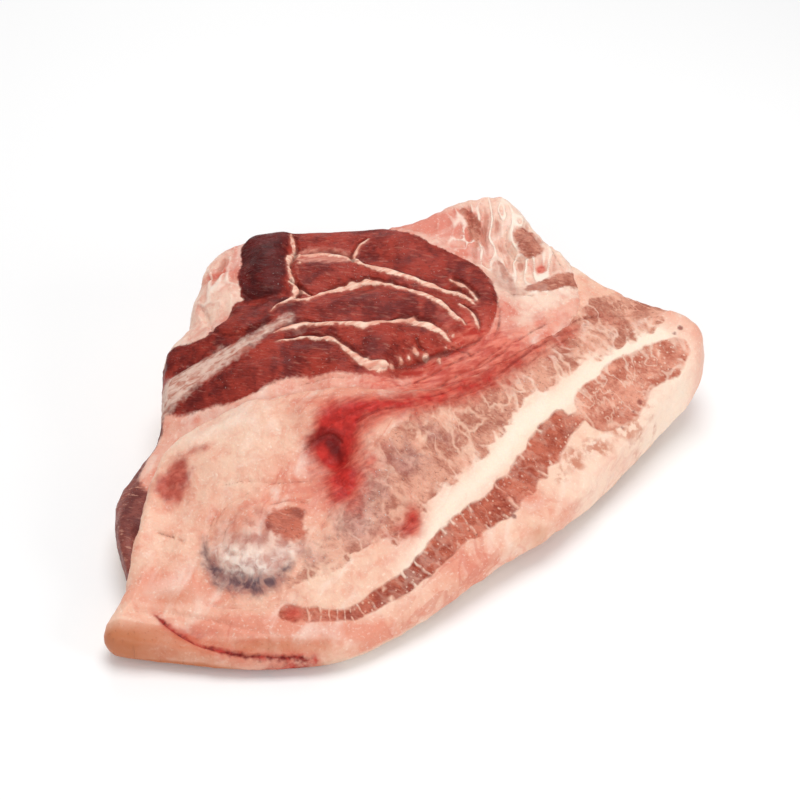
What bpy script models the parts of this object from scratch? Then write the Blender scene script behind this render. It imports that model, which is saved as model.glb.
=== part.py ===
"""A raw pork neck, skin on: one slab of rind, fat and muscle that lies on its rind.

Run with: blender --background --python part.py
Metres, +Z up. X runs from the thin lip on the left to the thick end on the right, and Y runs from the
bevelled cut face at the front to the back. The origin is under the middle of the slab, on the surface
that it lies on.

The slab starts as a square grid. The grid is rounded off to the outline of the slab, raised to the height
of its upper side, and closed by a wall and a flat sole. Each muscle, ridge and hollow of the upper side
is a named form that adds to the height.
"""

import bisect
import math

import bmesh
import bpy
from mathutils import Vector, noise

# Driving sizes
CROWN = 0.072  # the height of the slab behind the edge of its flap
FALL_START = -0.019  # left of here the crown drops towards the thin left side,
FRONT_FALL = 0.26  # this fast at the flap
BACK_FALL = 0.10  # and this fast at the back
CENTRE = Vector((-0.014, 0.031))  # the rays to the outline start here

# The outline, seen from above, from the tip of the lip round by the front. Each place has its height at
# the top of the wall, the width of the slope from there up to the crown, and the height that the rind
# curls up from the table.
OUTLINE = (
    # x, y, rim, slope, curl
    (-0.136, -0.112, 0.014, 0.110, 0.0000),  # tip of the lip
    (-0.104, -0.119, 0.012, 0.105, 0.0000),
    (-0.069, -0.122, 0.012, 0.100, 0.0000),
    (-0.031, -0.117, 0.014, 0.095, 0.0000),
    (0.000, -0.097, 0.018, 0.090, 0.0010),
    (0.035, -0.067, 0.020, 0.085, 0.0040),  # shallow notch where the rind lifts
    (0.057, -0.050, 0.021, 0.080, 0.0050),
    (0.075, -0.030, 0.023, 0.080, 0.0020),
    (0.108, 0.011, 0.029, 0.080, 0.0020),
    (0.134, 0.046, 0.042, 0.075, 0.0080),  # thick end
    (0.132, 0.065, 0.057, 0.060, 0.0100),
    (0.109, 0.074, 0.063, 0.045, 0.0080),
    (0.083, 0.081, 0.062, 0.035, 0.0060),
    (0.063, 0.097, 0.067, 0.030, 0.0040),
    (0.046, 0.124, 0.091, 0.040, 0.0000),  # back corner, the highest fat
    (0.025, 0.122, 0.088, 0.040, 0.0000),
    (-0.003, 0.111, 0.077, 0.030, 0.0000),
    (-0.039, 0.108, 0.073, 0.030, 0.0000),
    (-0.079, 0.108, 0.069, 0.030, 0.0000),
    (-0.102, 0.097, 0.064, 0.030, 0.0000),  # back left corner
    (-0.111, 0.074, 0.059, 0.030, 0.0000),
    (-0.113, 0.055, 0.050, 0.030, 0.0000),
    (-0.123, 0.039, 0.045, 0.040, 0.0000),
    (-0.121, 0.004, 0.040, 0.040, 0.0000),
    (-0.131, -0.017, 0.040, 0.040, 0.0000),
    (-0.139, -0.037, 0.036, 0.040, 0.0000),  # the muscle that shows past the flap
    (-0.135, -0.060, 0.027, 0.050, 0.0000),
    (-0.127, -0.088, 0.019, 0.080, 0.0000),
)
OUTLINE_STEPS = 12  # points between two places of the outline
CORNER_TURN = math.radians(20)  # the slopes follow the outline with its corners rounded off over this turn
LIP_ROUNDING = 0.008  # over this width the slopes run out into the corners

# The mesh
GRID_CELLS = 58  # along each side of the square grid that becomes the upper side
WALL_RINGS = 7
WALL_TUCK = 0.009  # how far the round top and foot of the wall lie inside the outline,
THIN_TUCK = 0.45  # or this share of the wall's height where it is low
WALL_SQUARENESS = 2.6  # 2 would be a half round wall
SOLE_STEP = 0.012  # from the foot of the wall in to the flat sole,
CURL_RUN = 2.2  # and this much more for each metre that the rind curls up
SOLE_FALL = 0.0022  # the foot of the wall hangs this much above the flat sole


def smooth_step(low, high, value):
    """0 below low, 1 above high, and an S curve between them."""
    share = min(1.0, max(0.0, (value - low) / (high - low)))
    return share * share * (3.0 - 2.0 * share)


def bell(distance, width):
    """1 at no distance, and nearly 0 past twice the width."""
    return math.exp(-((distance / width) ** 2))


def soft_least(first, second, blend):
    """The smaller of two values, with the corner between them rounded off over blend."""
    share = min(1.0, max(0.0, 0.5 + 0.5 * (second - first) / blend))
    return second * (1.0 - share) + first * share - blend * share * (1.0 - share)


def spline(points, steps, closed):
    """A Catmull-Rom curve through points of any number of values, steps points for each span."""
    count = len(points)
    spans = count if closed else count - 1
    found = []
    for span in range(spans):
        around = []
        for offset in (-1, 0, 1, 2):
            index = span + offset
            around.append(points[index % count if closed else min(max(index, 0), count - 1)])
        for step in range(steps):
            t = step / steps
            found.append(
                tuple(
                    0.5
                    * (
                        2.0 * b
                        + (c - a) * t
                        + (2.0 * a - 5.0 * b + 4.0 * c - d) * t * t
                        + (3.0 * b - a - 3.0 * c + d) * t**3
                    )
                    for a, b, c, d in zip(*around)
                )
            )
    if not closed:
        found.append(tuple(points[-1]))
    return found


def angle_of(ray):
    return math.atan2(ray.y, ray.x)


def ray_at(angle):
    return Vector((math.cos(angle), math.sin(angle)))


def outline_by_angle():
    """The smooth outline as (angle from CENTRE, reach, rim, slope, curl), sorted by angle."""
    rows = []
    for x, y, rim, slope, curl in spline(OUTLINE, OUTLINE_STEPS, closed=True):
        ray = Vector((x, y)) - CENTRE
        rows.append((angle_of(ray), ray.length, rim, slope, curl))
    return sorted(rows)


EDGE = outline_by_angle()


def edge_at(angle):
    """(reach, rim, slope, curl) of the outline in that direction."""
    angle = (angle + math.pi) % math.tau - math.pi
    after = bisect.bisect_left(EDGE, (angle,)) % len(EDGE)
    before = EDGE[after - 1]
    row = EDGE[after]
    turn = (row[0] - before[0]) % math.tau
    share = ((angle - before[0]) % math.tau) / turn if turn else 0.0
    return tuple(a + (b - a) * share for a, b in zip(before[1:], row[1:]))


def rounded_edge_at(angle):
    """The same for an outline that has its corners rounded off."""
    rows = [edge_at(angle + CORNER_TURN * step / 5.0) for step in range(-5, 6)]
    return tuple(sum(values) / len(rows) for values in zip(*rows))


def outline_point(angle):
    return CENTRE + ray_at(angle) * edge_at(angle)[0]


def inward(angle):
    """A direction from the outline into the slab, halfway between square to the wall and to CENTRE."""
    half_turn = math.radians(1.5)
    run = outline_point(angle + half_turn) - outline_point(angle - half_turn)
    return (Vector((-run.y, run.x)).normalized() - ray_at(angle)).normalized()


class Course:
    """A smooth line over the upper side, which a muscle, a ridge or a crease follows."""

    def __init__(self, *points):
        self.points = [Vector(p) for p in spline(points, 8, closed=False)]

    def near(self, place):
        """(distance to the line, positive on its left; share of the way along it; overshoot past its ends)."""
        best = None
        last = len(self.points) - 2
        for index in range(last + 1):
            start, end = self.points[index], self.points[index + 1]
            run = end - start
            along = (place - start).dot(run) / run.length_squared
            held = min(1.0, max(0.0, along))
            gap = (place - start - run * held).length
            if best is None or gap < best[0]:
                side = run.x * (place.y - start.y) - run.y * (place.x - start.x)
                past = max(0.0, along - 1.0 if index == last else 0.0, -along if index == 0 else 0.0)
                best = (gap, math.copysign(gap, side), (index + held) / (last + 1), past * run.length)
        return best[1:]


# The flap of fat in front ends in this edge, and the dark muscles lie behind it.
FLAP_EDGE = Course(
    (-0.127, -0.095),
    (-0.125, -0.071),
    (-0.122, -0.047),
    (-0.115, -0.026),
    (-0.099, -0.015),
    (-0.075, -0.011),
    (-0.053, -0.011),
    (-0.018, -0.014),
    (0.005, -0.005),
    (0.027, 0.007),
    (0.051, 0.023),
    (0.071, 0.045),
)
FLAP_LIP = 0.0025
FLAP_LIP_WIDTH = 0.009
FLAP_DROP = 0.0085  # from the edge down to the crease behind it
FLAP_DROP_WIDTH = 0.012
FLAP_CREASE_WIDTH = 0.014  # the crease has filled up again this far behind

# The lobes of the big red muscle, back to front: half width, height and course of each.
RED_LOBES = (
    (
        0.013,
        0.0055,
        Course((-0.059, 0.099), (-0.027, 0.092), (-0.001, 0.083), (0.019, 0.069), (0.031, 0.051), (0.034, 0.031)),
    ),
    (0.011, 0.0052, Course((-0.061, 0.076), (-0.039, 0.074), (-0.017, 0.068), (0.005, 0.060))),
    (0.012, 0.0056, Course((-0.063, 0.044), (-0.039, 0.049), (-0.014, 0.049), (0.005, 0.041), (0.017, 0.027))),
    (0.010, 0.0050, Course((-0.053, 0.033), (-0.035, 0.030), (-0.017, 0.024), (0.001, 0.021), (0.017, 0.017))),
    (0.010, 0.0045, Course((-0.067, 0.019), (-0.049, 0.017), (-0.034, 0.010), (-0.019, 0.004))),
)
RED_BASIN = Vector((-0.015, 0.047))  # the middle of the bed that the red muscle lies in
RED_BASIN_REACH = (0.062, 0.056)
RED_BASIN_DEPTH = 0.0045

# Rolls of muscle and fat down the left side, and the dark block at the back left.
LEFT_ROLLS = (
    (0.012, 0.0055, Course((-0.117, 0.040), (-0.095, 0.038), (-0.069, 0.044))),
    (0.009, 0.0045, Course((-0.121, 0.012), (-0.099, 0.023), (-0.065, 0.031))),
    (0.010, 0.0040, Course((-0.112, 0.004), (-0.091, 0.010), (-0.069, 0.010))),
    (0.012, 0.0060, Course((-0.131, -0.031), (-0.130, -0.047), (-0.126, -0.069))),
    (0.013, 0.0070, Course((-0.073, 0.101), (-0.073, 0.081), (-0.071, 0.061))),
    (0.011, 0.0045, Course((-0.095, 0.095), (-0.093, 0.077), (-0.091, 0.057))),
)
ROLL_END = 0.006  # a roll runs out over this length past its ends

# Round forms: where, reach along X and Y, height. Hollows are below zero.
MOUNDS = (
    ((-0.072, -0.071), (0.018, 0.015), 0.0060),  # gland at the front left
    ((-0.071, -0.094), (0.016, 0.006), -0.0025),
    ((-0.090, -0.077), (0.006, 0.016), -0.0030),
    ((-0.039, -0.039), (0.013, 0.011), -0.0080),  # bloody pit beside the flap's edge
    ((-0.059, -0.053), (0.016, 0.007), -0.0025),
    ((-0.108, -0.047), (0.008, 0.010), -0.0030),  # bruised dent
    ((-0.098, -0.035), (0.010, 0.006), 0.0020),
    ((-0.111, -0.072), (0.010, 0.003), -0.0015),
    ((-0.011, -0.067), (0.012, 0.007), -0.0020),
    ((0.003, -0.047), (0.030, 0.012), 0.0020),
    ((0.063, 0.039), (0.022, 0.010), -0.0030),
    ((0.041, 0.073), (0.008, 0.018), -0.0040),  # cleft beside the back corner
    ((0.061, 0.083), (0.010, 0.008), 0.0030),
    ((0.027, 0.105), (0.010, 0.007), 0.0020),
    ((0.055, 0.065), (0.007, 0.006), -0.0030),
)

# The lip: the fat on the rind stands out under a crease at the front left.
LIP_CREASE = Course((-0.129, -0.098), (-0.108, -0.105), (-0.091, -0.112), (-0.066, -0.116), (-0.039, -0.114))
LIP_CREASE_DEPTH = 0.0035
LIP_CREASE_WIDTH = 0.004

# Unevenness of the soft fat, and of the cut wall: size of the waves and their height.
WAVES = ((0.040, 0.0016), (0.017, 0.0008))
WALL_WAVES = ((0.030, 0.0026), (0.014, 0.0012))
LOW_WALL = 0.022  # a wall this low is rind and fat, and smooth
CUT_WALL = 0.045  # a wall this high is a cut face, and shows the waves in full
RIND_GROOVE_HEIGHT = 0.019  # the fat on the rind ends here, under the muscle
RIND_GROOVE_WIDTH = 0.005
RIND_GROOVE_DEPTH = 0.0020


def crown_height(place):
    fall = FRONT_FALL + (BACK_FALL - FRONT_FALL) * smooth_step(-0.007, 0.083, place.y)
    return CROWN - fall * max(0.0, FALL_START - place.x)


def flap_height(place):
    """The raised edge of the flap of fat, and the drop behind it, which fades out towards both ends."""
    side, along, past = FLAP_EDGE.near(place)
    fade = smooth_step(0.0, 0.15, along) * (1.0 - smooth_step(0.68, 1.0, along))
    lip = FLAP_LIP * bell(side + FLAP_LIP_WIDTH * 0.6, FLAP_LIP_WIDTH)
    behind = max(0.0, side)
    drop = FLAP_DROP * smooth_step(0.0, FLAP_DROP_WIDTH, behind)
    return (lip - drop * bell(max(0.0, behind - FLAP_DROP_WIDTH), FLAP_CREASE_WIDTH)) * fade


def roll_height(place, rolls):
    """The highest of several rounded rolls of muscle at this place."""
    best = 0.0
    for half_width, height, course in rolls:
        side, along, past = course.near(place)
        across = min(1.0, abs(side) / half_width)
        taper = 0.35 + 0.65 * math.sin(math.pi * (0.08 + 0.84 * along))
        best = max(best, height * taper * (1.0 - across * across) * bell(past, ROLL_END))
    return best


def mound_height(place):
    total = 0.0
    for (x, y), (reach_x, reach_y), height in MOUNDS:
        total += height * bell(math.hypot((place.x - x) / reach_x, (place.y - y) / reach_y), 1.0)
    return total


def wave_height(place, waves):
    """Soft random waves, the same each time; place has two or three values."""
    total = 0.0
    for size, height in waves:
        total += height * noise.noise(place.to_3d() / size + Vector((0.0, 0.0, size * 100.0)))
    return total


def upper_height(place):
    """The height of the upper side at a place inside the outline."""
    ray = place - CENTRE
    reach, rim, slope, curl = rounded_edge_at(angle_of(ray))
    inside = reach - WALL_TUCK - ray.length
    climb = 0.5 * (inside + math.hypot(inside, LIP_ROUNDING)) / slope
    height = rim + (crown_height(place) - rim) * soft_least(climb, 1.0, 0.35)
    basin = Vector(((place.x - RED_BASIN.x) / RED_BASIN_REACH[0], (place.y - RED_BASIN.y) / RED_BASIN_REACH[1]))
    height -= RED_BASIN_DEPTH * bell(basin.length_squared, 1.0)
    near_wall = smooth_step(-0.004, 0.012, inside)
    height += flap_height(place)
    height += (roll_height(place, RED_LOBES) + roll_height(place, LEFT_ROLLS)) * (0.45 + 0.55 * near_wall)
    height += (mound_height(place) + wave_height(place, WAVES)) * (0.3 + 0.7 * near_wall)
    side, along, past = LIP_CREASE.near(place)
    height -= LIP_CREASE_DEPTH * bell(side, LIP_CREASE_WIDTH) * math.sin(math.pi * along) ** 0.5
    return height


def disc_place(u, v):
    """A point of the square from -1 to 1 moved to the round disc of radius 1."""
    return Vector((u * math.sqrt(1.0 - v * v / 2.0), v * math.sqrt(1.0 - u * u / 2.0)))


def tuck_at(angle):
    return min(WALL_TUCK, THIN_TUCK * edge_at(angle)[1])


def wall_point(angle, top, share):
    """A point of the wall, from its top at share 0 to its foot at share 1."""
    reach, rim, slope, curl = edge_at(angle)
    turn = math.pi * (0.5 - share)
    power = 2.0 / WALL_SQUARENESS
    out = max(0.0, math.cos(turn)) ** power
    up = math.copysign(abs(math.sin(turn)) ** power, math.sin(turn))
    foot = SOLE_FALL + curl
    height = (top + foot) / 2.0 + (top - foot) / 2.0 * up
    into = inward(angle)
    flat = outline_point(angle) + into * tuck_at(angle) * (1.0 - out)
    relief = wave_height(Vector((flat.x, flat.y, height)), WALL_WAVES)
    relief -= RIND_GROOVE_DEPTH * bell(height - RIND_GROOVE_HEIGHT, RIND_GROOVE_WIDTH)
    flat -= into * relief * smooth_step(LOW_WALL, CUT_WALL, rim) * out
    return Vector((flat.x, flat.y, height))


def sole_point(angle):
    curl = edge_at(angle)[3]
    flat = outline_point(angle) + inward(angle) * tuck_at(angle)
    flat -= ray_at(angle) * (SOLE_STEP + CURL_RUN * curl)
    return Vector((flat.x, flat.y, 0.0))


def extruded_verts(mesh, edges):
    """The open edges after one more ring of faces, and their vertices."""
    made = bmesh.ops.extrude_edge_only(mesh, edges=edges)["geom"]
    edges = [item for item in made if isinstance(item, bmesh.types.BMEdge) and item.is_boundary]
    return edges, {vert for edge in edges for vert in edge.verts}


def slab_mesh():
    """The whole slab as one closed mesh: upper side, wall and sole."""
    mesh = bmesh.new()
    bmesh.ops.create_grid(mesh, x_segments=GRID_CELLS, y_segments=GRID_CELLS, size=1.0)
    angles = mesh.verts.layers.float.new("angle")
    tops = mesh.verts.layers.float.new("top")
    for vert in mesh.verts:
        disc = disc_place(vert.co.x, vert.co.y)
        angle = angle_of(disc)
        rim_place = outline_point(angle) + inward(angle) * tuck_at(angle)
        place = CENTRE + (rim_place - CENTRE) * disc.length
        vert.co = (place.x, place.y, upper_height(place))
        vert[angles] = angle
        vert[tops] = vert.co.z
    edges = [edge for edge in mesh.edges if edge.is_boundary]
    for ring in range(1, WALL_RINGS + 1):
        edges, verts = extruded_verts(mesh, edges)
        for vert in verts:
            vert.co = wall_point(vert[angles], vert[tops], ring / WALL_RINGS)
    edges, verts = extruded_verts(mesh, edges)
    for vert in verts:
        vert.co = sole_point(vert[angles])
    bmesh.ops.contextual_create(mesh, geom=edges)
    bmesh.ops.triangulate(mesh, faces=[face for face in mesh.faces if len(face.verts) > 4])
    bmesh.ops.recalc_face_normals(mesh, faces=mesh.faces)
    return mesh


def centre_on_origin(mesh):
    """Moves the slab along X and Y so that the origin is under the middle of its box."""
    for axis in (0, 1):
        values = [vert.co[axis] for vert in mesh.verts]
        middle = (min(values) + max(values)) / 2.0
        for vert in mesh.verts:
            vert.co[axis] -= middle


def raw_meat_material():
    material = bpy.data.materials.new("raw_pork")
    material.use_nodes = True
    shader = material.node_tree.nodes["Principled BSDF"]
    shader.inputs["Base Color"].default_value = (0.74, 0.40, 0.31, 1.0)
    shader.inputs["Roughness"].default_value = 0.42
    shader.inputs["Metallic"].default_value = 0.0
    return material


def main():
    for old in list(bpy.data.objects):
        bpy.data.objects.remove(old, do_unlink=True)
    mesh = slab_mesh()
    centre_on_origin(mesh)
    data = bpy.data.meshes.new("pork_neck")
    mesh.to_mesh(data)
    mesh.free()
    data.shade_smooth()
    data.materials.append(raw_meat_material())
    slab = bpy.data.objects.new("pork_neck", data)
    bpy.context.scene.collection.objects.link(slab)


main()
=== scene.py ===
"""The looks of a raw pork neck, skin on, dressed around its solid.

Lengths are in metres in the frame's own axes: +X to the thick end, +Y to the back, +Z up. Courses and
outlines over the upper side are given in millimetres, and smooth_line() turns them into metres.
"""

import math

import bmesh
import bpy
import numpy as np
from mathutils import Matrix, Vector, noise


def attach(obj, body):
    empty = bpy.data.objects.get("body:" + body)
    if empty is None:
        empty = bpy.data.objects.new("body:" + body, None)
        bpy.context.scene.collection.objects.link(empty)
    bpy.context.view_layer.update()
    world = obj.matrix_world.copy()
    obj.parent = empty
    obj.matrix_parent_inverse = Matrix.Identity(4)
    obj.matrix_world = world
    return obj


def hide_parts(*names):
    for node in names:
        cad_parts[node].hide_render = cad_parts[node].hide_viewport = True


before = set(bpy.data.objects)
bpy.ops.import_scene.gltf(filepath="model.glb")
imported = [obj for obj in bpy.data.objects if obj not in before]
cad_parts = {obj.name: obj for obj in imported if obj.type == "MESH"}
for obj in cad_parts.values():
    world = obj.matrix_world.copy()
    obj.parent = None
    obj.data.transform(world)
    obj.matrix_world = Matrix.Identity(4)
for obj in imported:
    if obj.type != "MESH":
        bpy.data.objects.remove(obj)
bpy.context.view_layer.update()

# ----------------------------------------------------------------------------------------------------
# The bed: the back half of the piece. Dark cheek muscles lie in soft fat there, on the rind. It is a fine
# copy of the solid's skin that ends under the flap of fat in front, with lobes, grooves and grain raised
# on it.

MM = 0.001
REACH = 0.02  # the distance from a line is measured up to this,
FAR = 1.0  # or up to this, which is past the whole piece
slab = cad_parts["pork_neck"]


def smooth_line(*points, closed=False, steps=8):
    """A Catmull-Rom curve through points in millimetres, as rows of x and y in metres."""
    knots = np.array(points, float) * MM
    count = len(knots)
    rows = []
    for span in range(count if closed else count - 1):
        index = np.arange(span - 1, span + 3)
        a, b, c, d = knots[index % count if closed else index.clip(0, count - 1)]
        for t in np.arange(steps) / steps:
            bend = (2 * a - 5 * b + 4 * c - d) * t**2 + (3 * b - a - 3 * c + d) * t**3
            rows.append(0.5 * (2 * b + (c - a) * t + bend))
    rows.append(knots[0] if closed else knots[-1])
    line = np.array(rows)
    turned = (line[:-1, 0] * line[1:, 1] - line[1:, 0] * line[:-1, 1]).sum() < 0
    return line[::-1] if closed and turned else line


def near(line, at, reach=REACH):
    """How far each place is from the line, positive on its left, at most reach, and its share along it."""
    side = np.full(len(at), reach)
    along = np.zeros(len(at))
    boxed = ((at > line.min(0) - reach) & (at < line.max(0) + reach)).all(1)
    picked = np.flatnonzero(boxed)
    run = line[1:] - line[:-1]
    for part in np.array_split(picked, len(picked) // 20000 + 1):
        offset = at[part, None] - line[None, :-1]
        share = ((offset * run).sum(2) / (run * run).sum(1)).clip(0, 1)
        gap = np.linalg.norm(offset - run * share[..., None], axis=2)
        best = gap.argmin(1)
        rows = np.arange(len(part))
        cross = run[best, 0] * offset[rows, best, 1] - run[best, 1] * offset[rows, best, 0]
        side[part] = np.copysign(gap[rows, best].clip(0, reach), cross)
        along[part] = (best + share[rows, best]) / len(run)
    return side, along


def depth_in(outline, at):
    """How deep each place lies inside a closed outline; outside it is below zero."""
    depth, _ = near(outline, at)
    boxed = ((at > outline.min(0) - REACH) & (at < outline.max(0) + REACH)).all(1)
    return np.where(boxed, depth, -REACH)


def widths_along(along, widths):
    """Widths in millimetres, spaced evenly from end to end, at each share of the way, in metres."""
    return np.interp(along, np.linspace(0, 1, len(widths)), widths) * MM


def depth_in_band(line, half_widths, at):
    """How deep each place lies inside a band along a line."""
    side, along = near(line, at)
    return widths_along(along, half_widths) - abs(side)


def smooth_step(low, high, value):
    share = ((value - low) / (high - low)).clip(0, 1)
    return share * share * (3 - 2 * share)


def bell(distance, width):
    """1 at no distance, and nearly 0 past twice the width."""
    return np.exp(-((distance / width) ** 2))


def spots(at, *rows):
    """The sum of soft round spots, each (x, y, reach along x, reach along y, strength), in millimetres."""
    total = np.zeros(len(at))
    for x, y, reach_x, reach_y, strength in rows:
        total += strength * bell(np.hypot((at[:, 0] / MM - x) / reach_x, (at[:, 1] / MM - y) / reach_y), 1)
    return total


def waves(place, size, seed=0.0):
    """Soft random waves of that size between about -1 and 1, the same each time."""
    return np.array([noise.noise(p) for p in (place / size + seed).tolist()])


def folds(place, size, seed=0.0):
    """Sharp folds with round hollows between them, from about -1 in a hollow to 1 on a fold."""
    return 1 - abs(waves(place, size, seed)) * 2.2


def tapered(along, share=0.1):
    """Fades a course out over that share of its way at both ends."""
    return smooth_step(0, share, along) * (1 - smooth_step(1 - share, 1, along))


# Where the flap of fat ends. The ridge is the solid's own, and the flap's free rim lies just behind it.
flap_ridge = smooth_line(
    (-124, -96), (-122, -72), (-119, -48), (-112, -27), (-96, -16), (-72, -12), (-50, -12), (-15, -15),
    (8, -6), (30, 6), (54, 22), (74, 44),
)
flap_rim = smooth_line(
    (-136, -104), (-128, -88), (-124, -77), (-121, -64), (-119, -50), (-117, -36), (-112, -23), (-97, -13),
    (-84, -9), (-72, -8.5), (-61, -9.5), (-50, -8.5), (-33, -9), (-15, -11.5), (-4, -8), (6.5, -3), (28, 9),
    (52, 24.5), (66, 38), (74, 50), (75, 64), (72, 80), (70, 100),
)
FLAP_DROP = 0.0085  # from the ridge down to the crease behind it
FLAP_DROP_WIDTH = 0.012
COVERED = 0.009  # the bed goes on this far under the flap,
TUCK = 0.0035  # sunk by this much
FLUSH_STEP = 0.0005  # the flap stands this proud where it lies flat on the bed
SOLE_RISE = 0.002  # the sole is lower than this, but for its rim
CAP_INSET = 0.0003  # the ring round a fill is set in by this, down from above and up from below
CAP_MIDDLE = 0.007

JOIN_ANGLE = math.radians(50)  # triangles that differ by less than this make a square
MERGE = 1e-6
COMB_REACH = 0.022  # the steps beside the ridge are smoothed up to this far from it
WIDEST_CUT = 0.0035  # squares wider than this are split
CUT_REACH = 0.014  # where they are this near to the rim
BED_FINE = 0.0022  # the bed is split finely this far beside its courses and creases
# The dark lines of the creases are painted shade.
SHADOW_LOSS = 0.4  # a crease's dark line is this much narrower than the crease, in millimetres
ALL_AXES = {"use_axis_x": True, "use_axis_y": True, "use_axis_z": True}


def rounded(data):
    """A copy of the mesh after one round of smooth splitting."""
    shape = bpy.data.objects.new("rounding", data)
    bpy.context.scene.collection.objects.link(shape)
    split = shape.modifiers.new("rounding", "SUBSURF")
    split.levels = split.render_levels = 1
    graph = bpy.context.evaluated_depsgraph_get()
    made = bpy.data.meshes.new_from_object(shape.evaluated_get(graph))
    bpy.data.objects.remove(shape)
    return made


def slab_skin():
    """The solid's skin, merged, in squares of about 2 mm, with the steps beside the ridge smoothed out."""
    mesh = bmesh.new()
    mesh.from_mesh(slab.data)
    bmesh.ops.remove_doubles(mesh, verts=mesh.verts, dist=MERGE)
    bmesh.ops.join_triangles(
        mesh, faces=mesh.faces, angle_face_threshold=JOIN_ANGLE, angle_shape_threshold=JOIN_ANGLE
    )
    at = np.array([vert.co.xy for vert in mesh.verts])
    close = abs(near(flap_ridge, at, COMB_REACH)[0]) < COMB_REACH
    combed = [vert for vert, steps in zip(mesh.verts, close) if steps and vert.normal.z > 0.5]
    for _ in range(2):
        bmesh.ops.smooth_vert(mesh, verts=combed, factor=0.5, **ALL_AXES)
    data = bpy.data.meshes.new("slab_skin")
    mesh.to_mesh(data)
    made = rounded(data)
    mesh.clear()
    mesh.from_mesh(made)
    for _ in range(4):
        # the sole's wide squares are split where the piece is parted
        middles = np.array([(edge.verts[0].co.xy + edge.verts[1].co.xy) / 2 for edge in mesh.edges])
        lengths = np.array([edge.calc_length() for edge in mesh.edges])
        wide = (lengths > WIDEST_CUT) & (abs(near(flap_rim, middles, FAR)[0]) < lengths / 2 + CUT_REACH)
        split = [edge for edge, is_wide in zip(mesh.edges, wide) if is_wide]
        bmesh.ops.subdivide_edges(mesh, edges=split, cuts=1, use_grid_fill=True)
    mesh.to_mesh(made)
    mesh.free()
    return made


def trimmed(skin, front):
    """The skin in front of the flap's rim, or behind it and a little way under it, as an open bmesh."""
    mesh = bmesh.new()
    mesh.from_mesh(skin)
    at = np.array([vert.co.xy for vert in mesh.verts])
    side, _ = near(flap_rim, at, FAR)
    behind = side if front else -side - COVERED
    gone = [face for face in mesh.faces if sum(behind[vert.index] for vert in face.verts) > 0]
    bmesh.ops.delete(mesh, geom=gone, context="FACES")
    return mesh


def split_inside(mesh, wanted):
    """Splits the squares of the upper side that wanted picks into four."""
    centres = np.array([face.calc_center_median() for face in mesh.faces])
    picked = wanted(centres[:, :2])
    fine = [face for face, want in zip(mesh.faces, picked) if want and face.normal.z > 0.2]
    edges = list({edge for face in fine for edge in face.edges})
    bmesh.ops.subdivide_edges(mesh, edges=edges, cuts=1, use_grid_fill=True)


def rounded_mesh(mesh, name):
    """The bmesh, rounded, as data."""
    data = bpy.data.meshes.new(name)
    mesh.to_mesh(data)
    mesh.free()
    made = rounded(data)
    made.name = name
    bpy.data.meshes.remove(data)
    return made


def close(data):
    """Fills the open edge of a mesh behind a narrow ring. The fill is hidden where the two halves overlap."""
    mesh = bmesh.new()
    mesh.from_mesh(data)
    made = bmesh.ops.extrude_edge_only(mesh, edges=[edge for edge in mesh.edges if edge.is_boundary])["geom"]
    for vert in [item for item in made if isinstance(item, bmesh.types.BMVert)]:
        vert.co.z -= CAP_INSET * min(max((vert.co.z - CAP_MIDDLE) / CAP_MIDDLE, -1), 1)
    cap = bmesh.ops.contextual_create(mesh, geom=[edge for edge in mesh.edges if edge.is_boundary])
    bmesh.ops.triangulate(mesh, faces=cap["faces"])
    mesh.to_mesh(data)
    mesh.free()


def vertex_rows(data, of="co"):
    rows = np.empty(len(data.vertices) * 3, np.float32)
    data.vertices.foreach_get(of, rows)
    return rows.reshape(-1, 3).astype(float)


def move_out(data, rise):
    """Moves every vertex along its normal by its rise, but none below the sole."""
    places = vertex_rows(data) + vertex_rows(data, "normal") * rise[:, None]
    places[:, 2] = places[:, 2].clip(0)
    data.vertices.foreach_set("co", places.astype(np.float32).ravel())
    data.update()


def store(data, **masks):
    """Keeps values for the material as named attributes: depths in millimetres, and shares from 0 to 1."""
    for name, values in masks.items():
        layer = data.attributes.new(name, "FLOAT", "POINT")
        layer.data.foreach_set("value", values.astype(np.float32))


def as_lines(courses):
    """The courses with their points turned into lines, and their other values as they are."""
    return [(smooth_line(*points), *values) for points, *values in courses]


def surveyed(data, steep, flat):
    """Places, normals, (x, y), heights, and shares above the sole and on the upper side, by vertex."""
    place = vertex_rows(data)
    facing = vertex_rows(data, "normal")
    above_sole = smooth_step(SOLE_RISE, 3 * SOLE_RISE, place[:, 2])
    on_top = smooth_step(steep, flat, facing[:, 2]) * above_sole
    return place, facing, place[:, :2], place[:, 2], above_sole, on_top


def unevenness(place, coarse_part):
    """Coarse, middle and fine waves, what they add to an edge in metres, and what breaks up a line."""
    coarse = waves(place, 9 * MM)
    middle = waves(place, 4.2 * MM, 7.0)
    fine = waves(place, 1.7 * MM, 13.0)
    ragged = (coarse * coarse_part + middle * 0.9 + fine * 0.5) * MM
    return coarse, middle, fine, ragged, 0.75 + 0.8 * waves(place, 11 * MM, 91.0)


def lens_floor(across, half_width, limit, lift):
    """How much higher the muscle ends off the middle of its section on a cut wall."""
    return lift * MM * (across / half_width).clip(-limit, limit) ** 2


def press_in(creases, at, sway, dark_taper, broken, on_top, rise, shadow):
    """Sinks the creases into the rise, and lays their dark lines, which are painted shade, into the depth of
    the shadow.
    """
    for line, half_width, sink, darkness in creases:
        side, along = near(line, at)
        held = abs(side + sway)
        rise -= sink * MM * tapered(along, 0.15) * on_top * bell(held, half_width * MM)
        darkened = half_width * darkness * tapered(along, dark_taper) * broken * on_top - SHADOW_LOSS
        np.maximum(shadow, darkened * MM - held, out=shadow)


skin = slab_skin()

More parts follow.
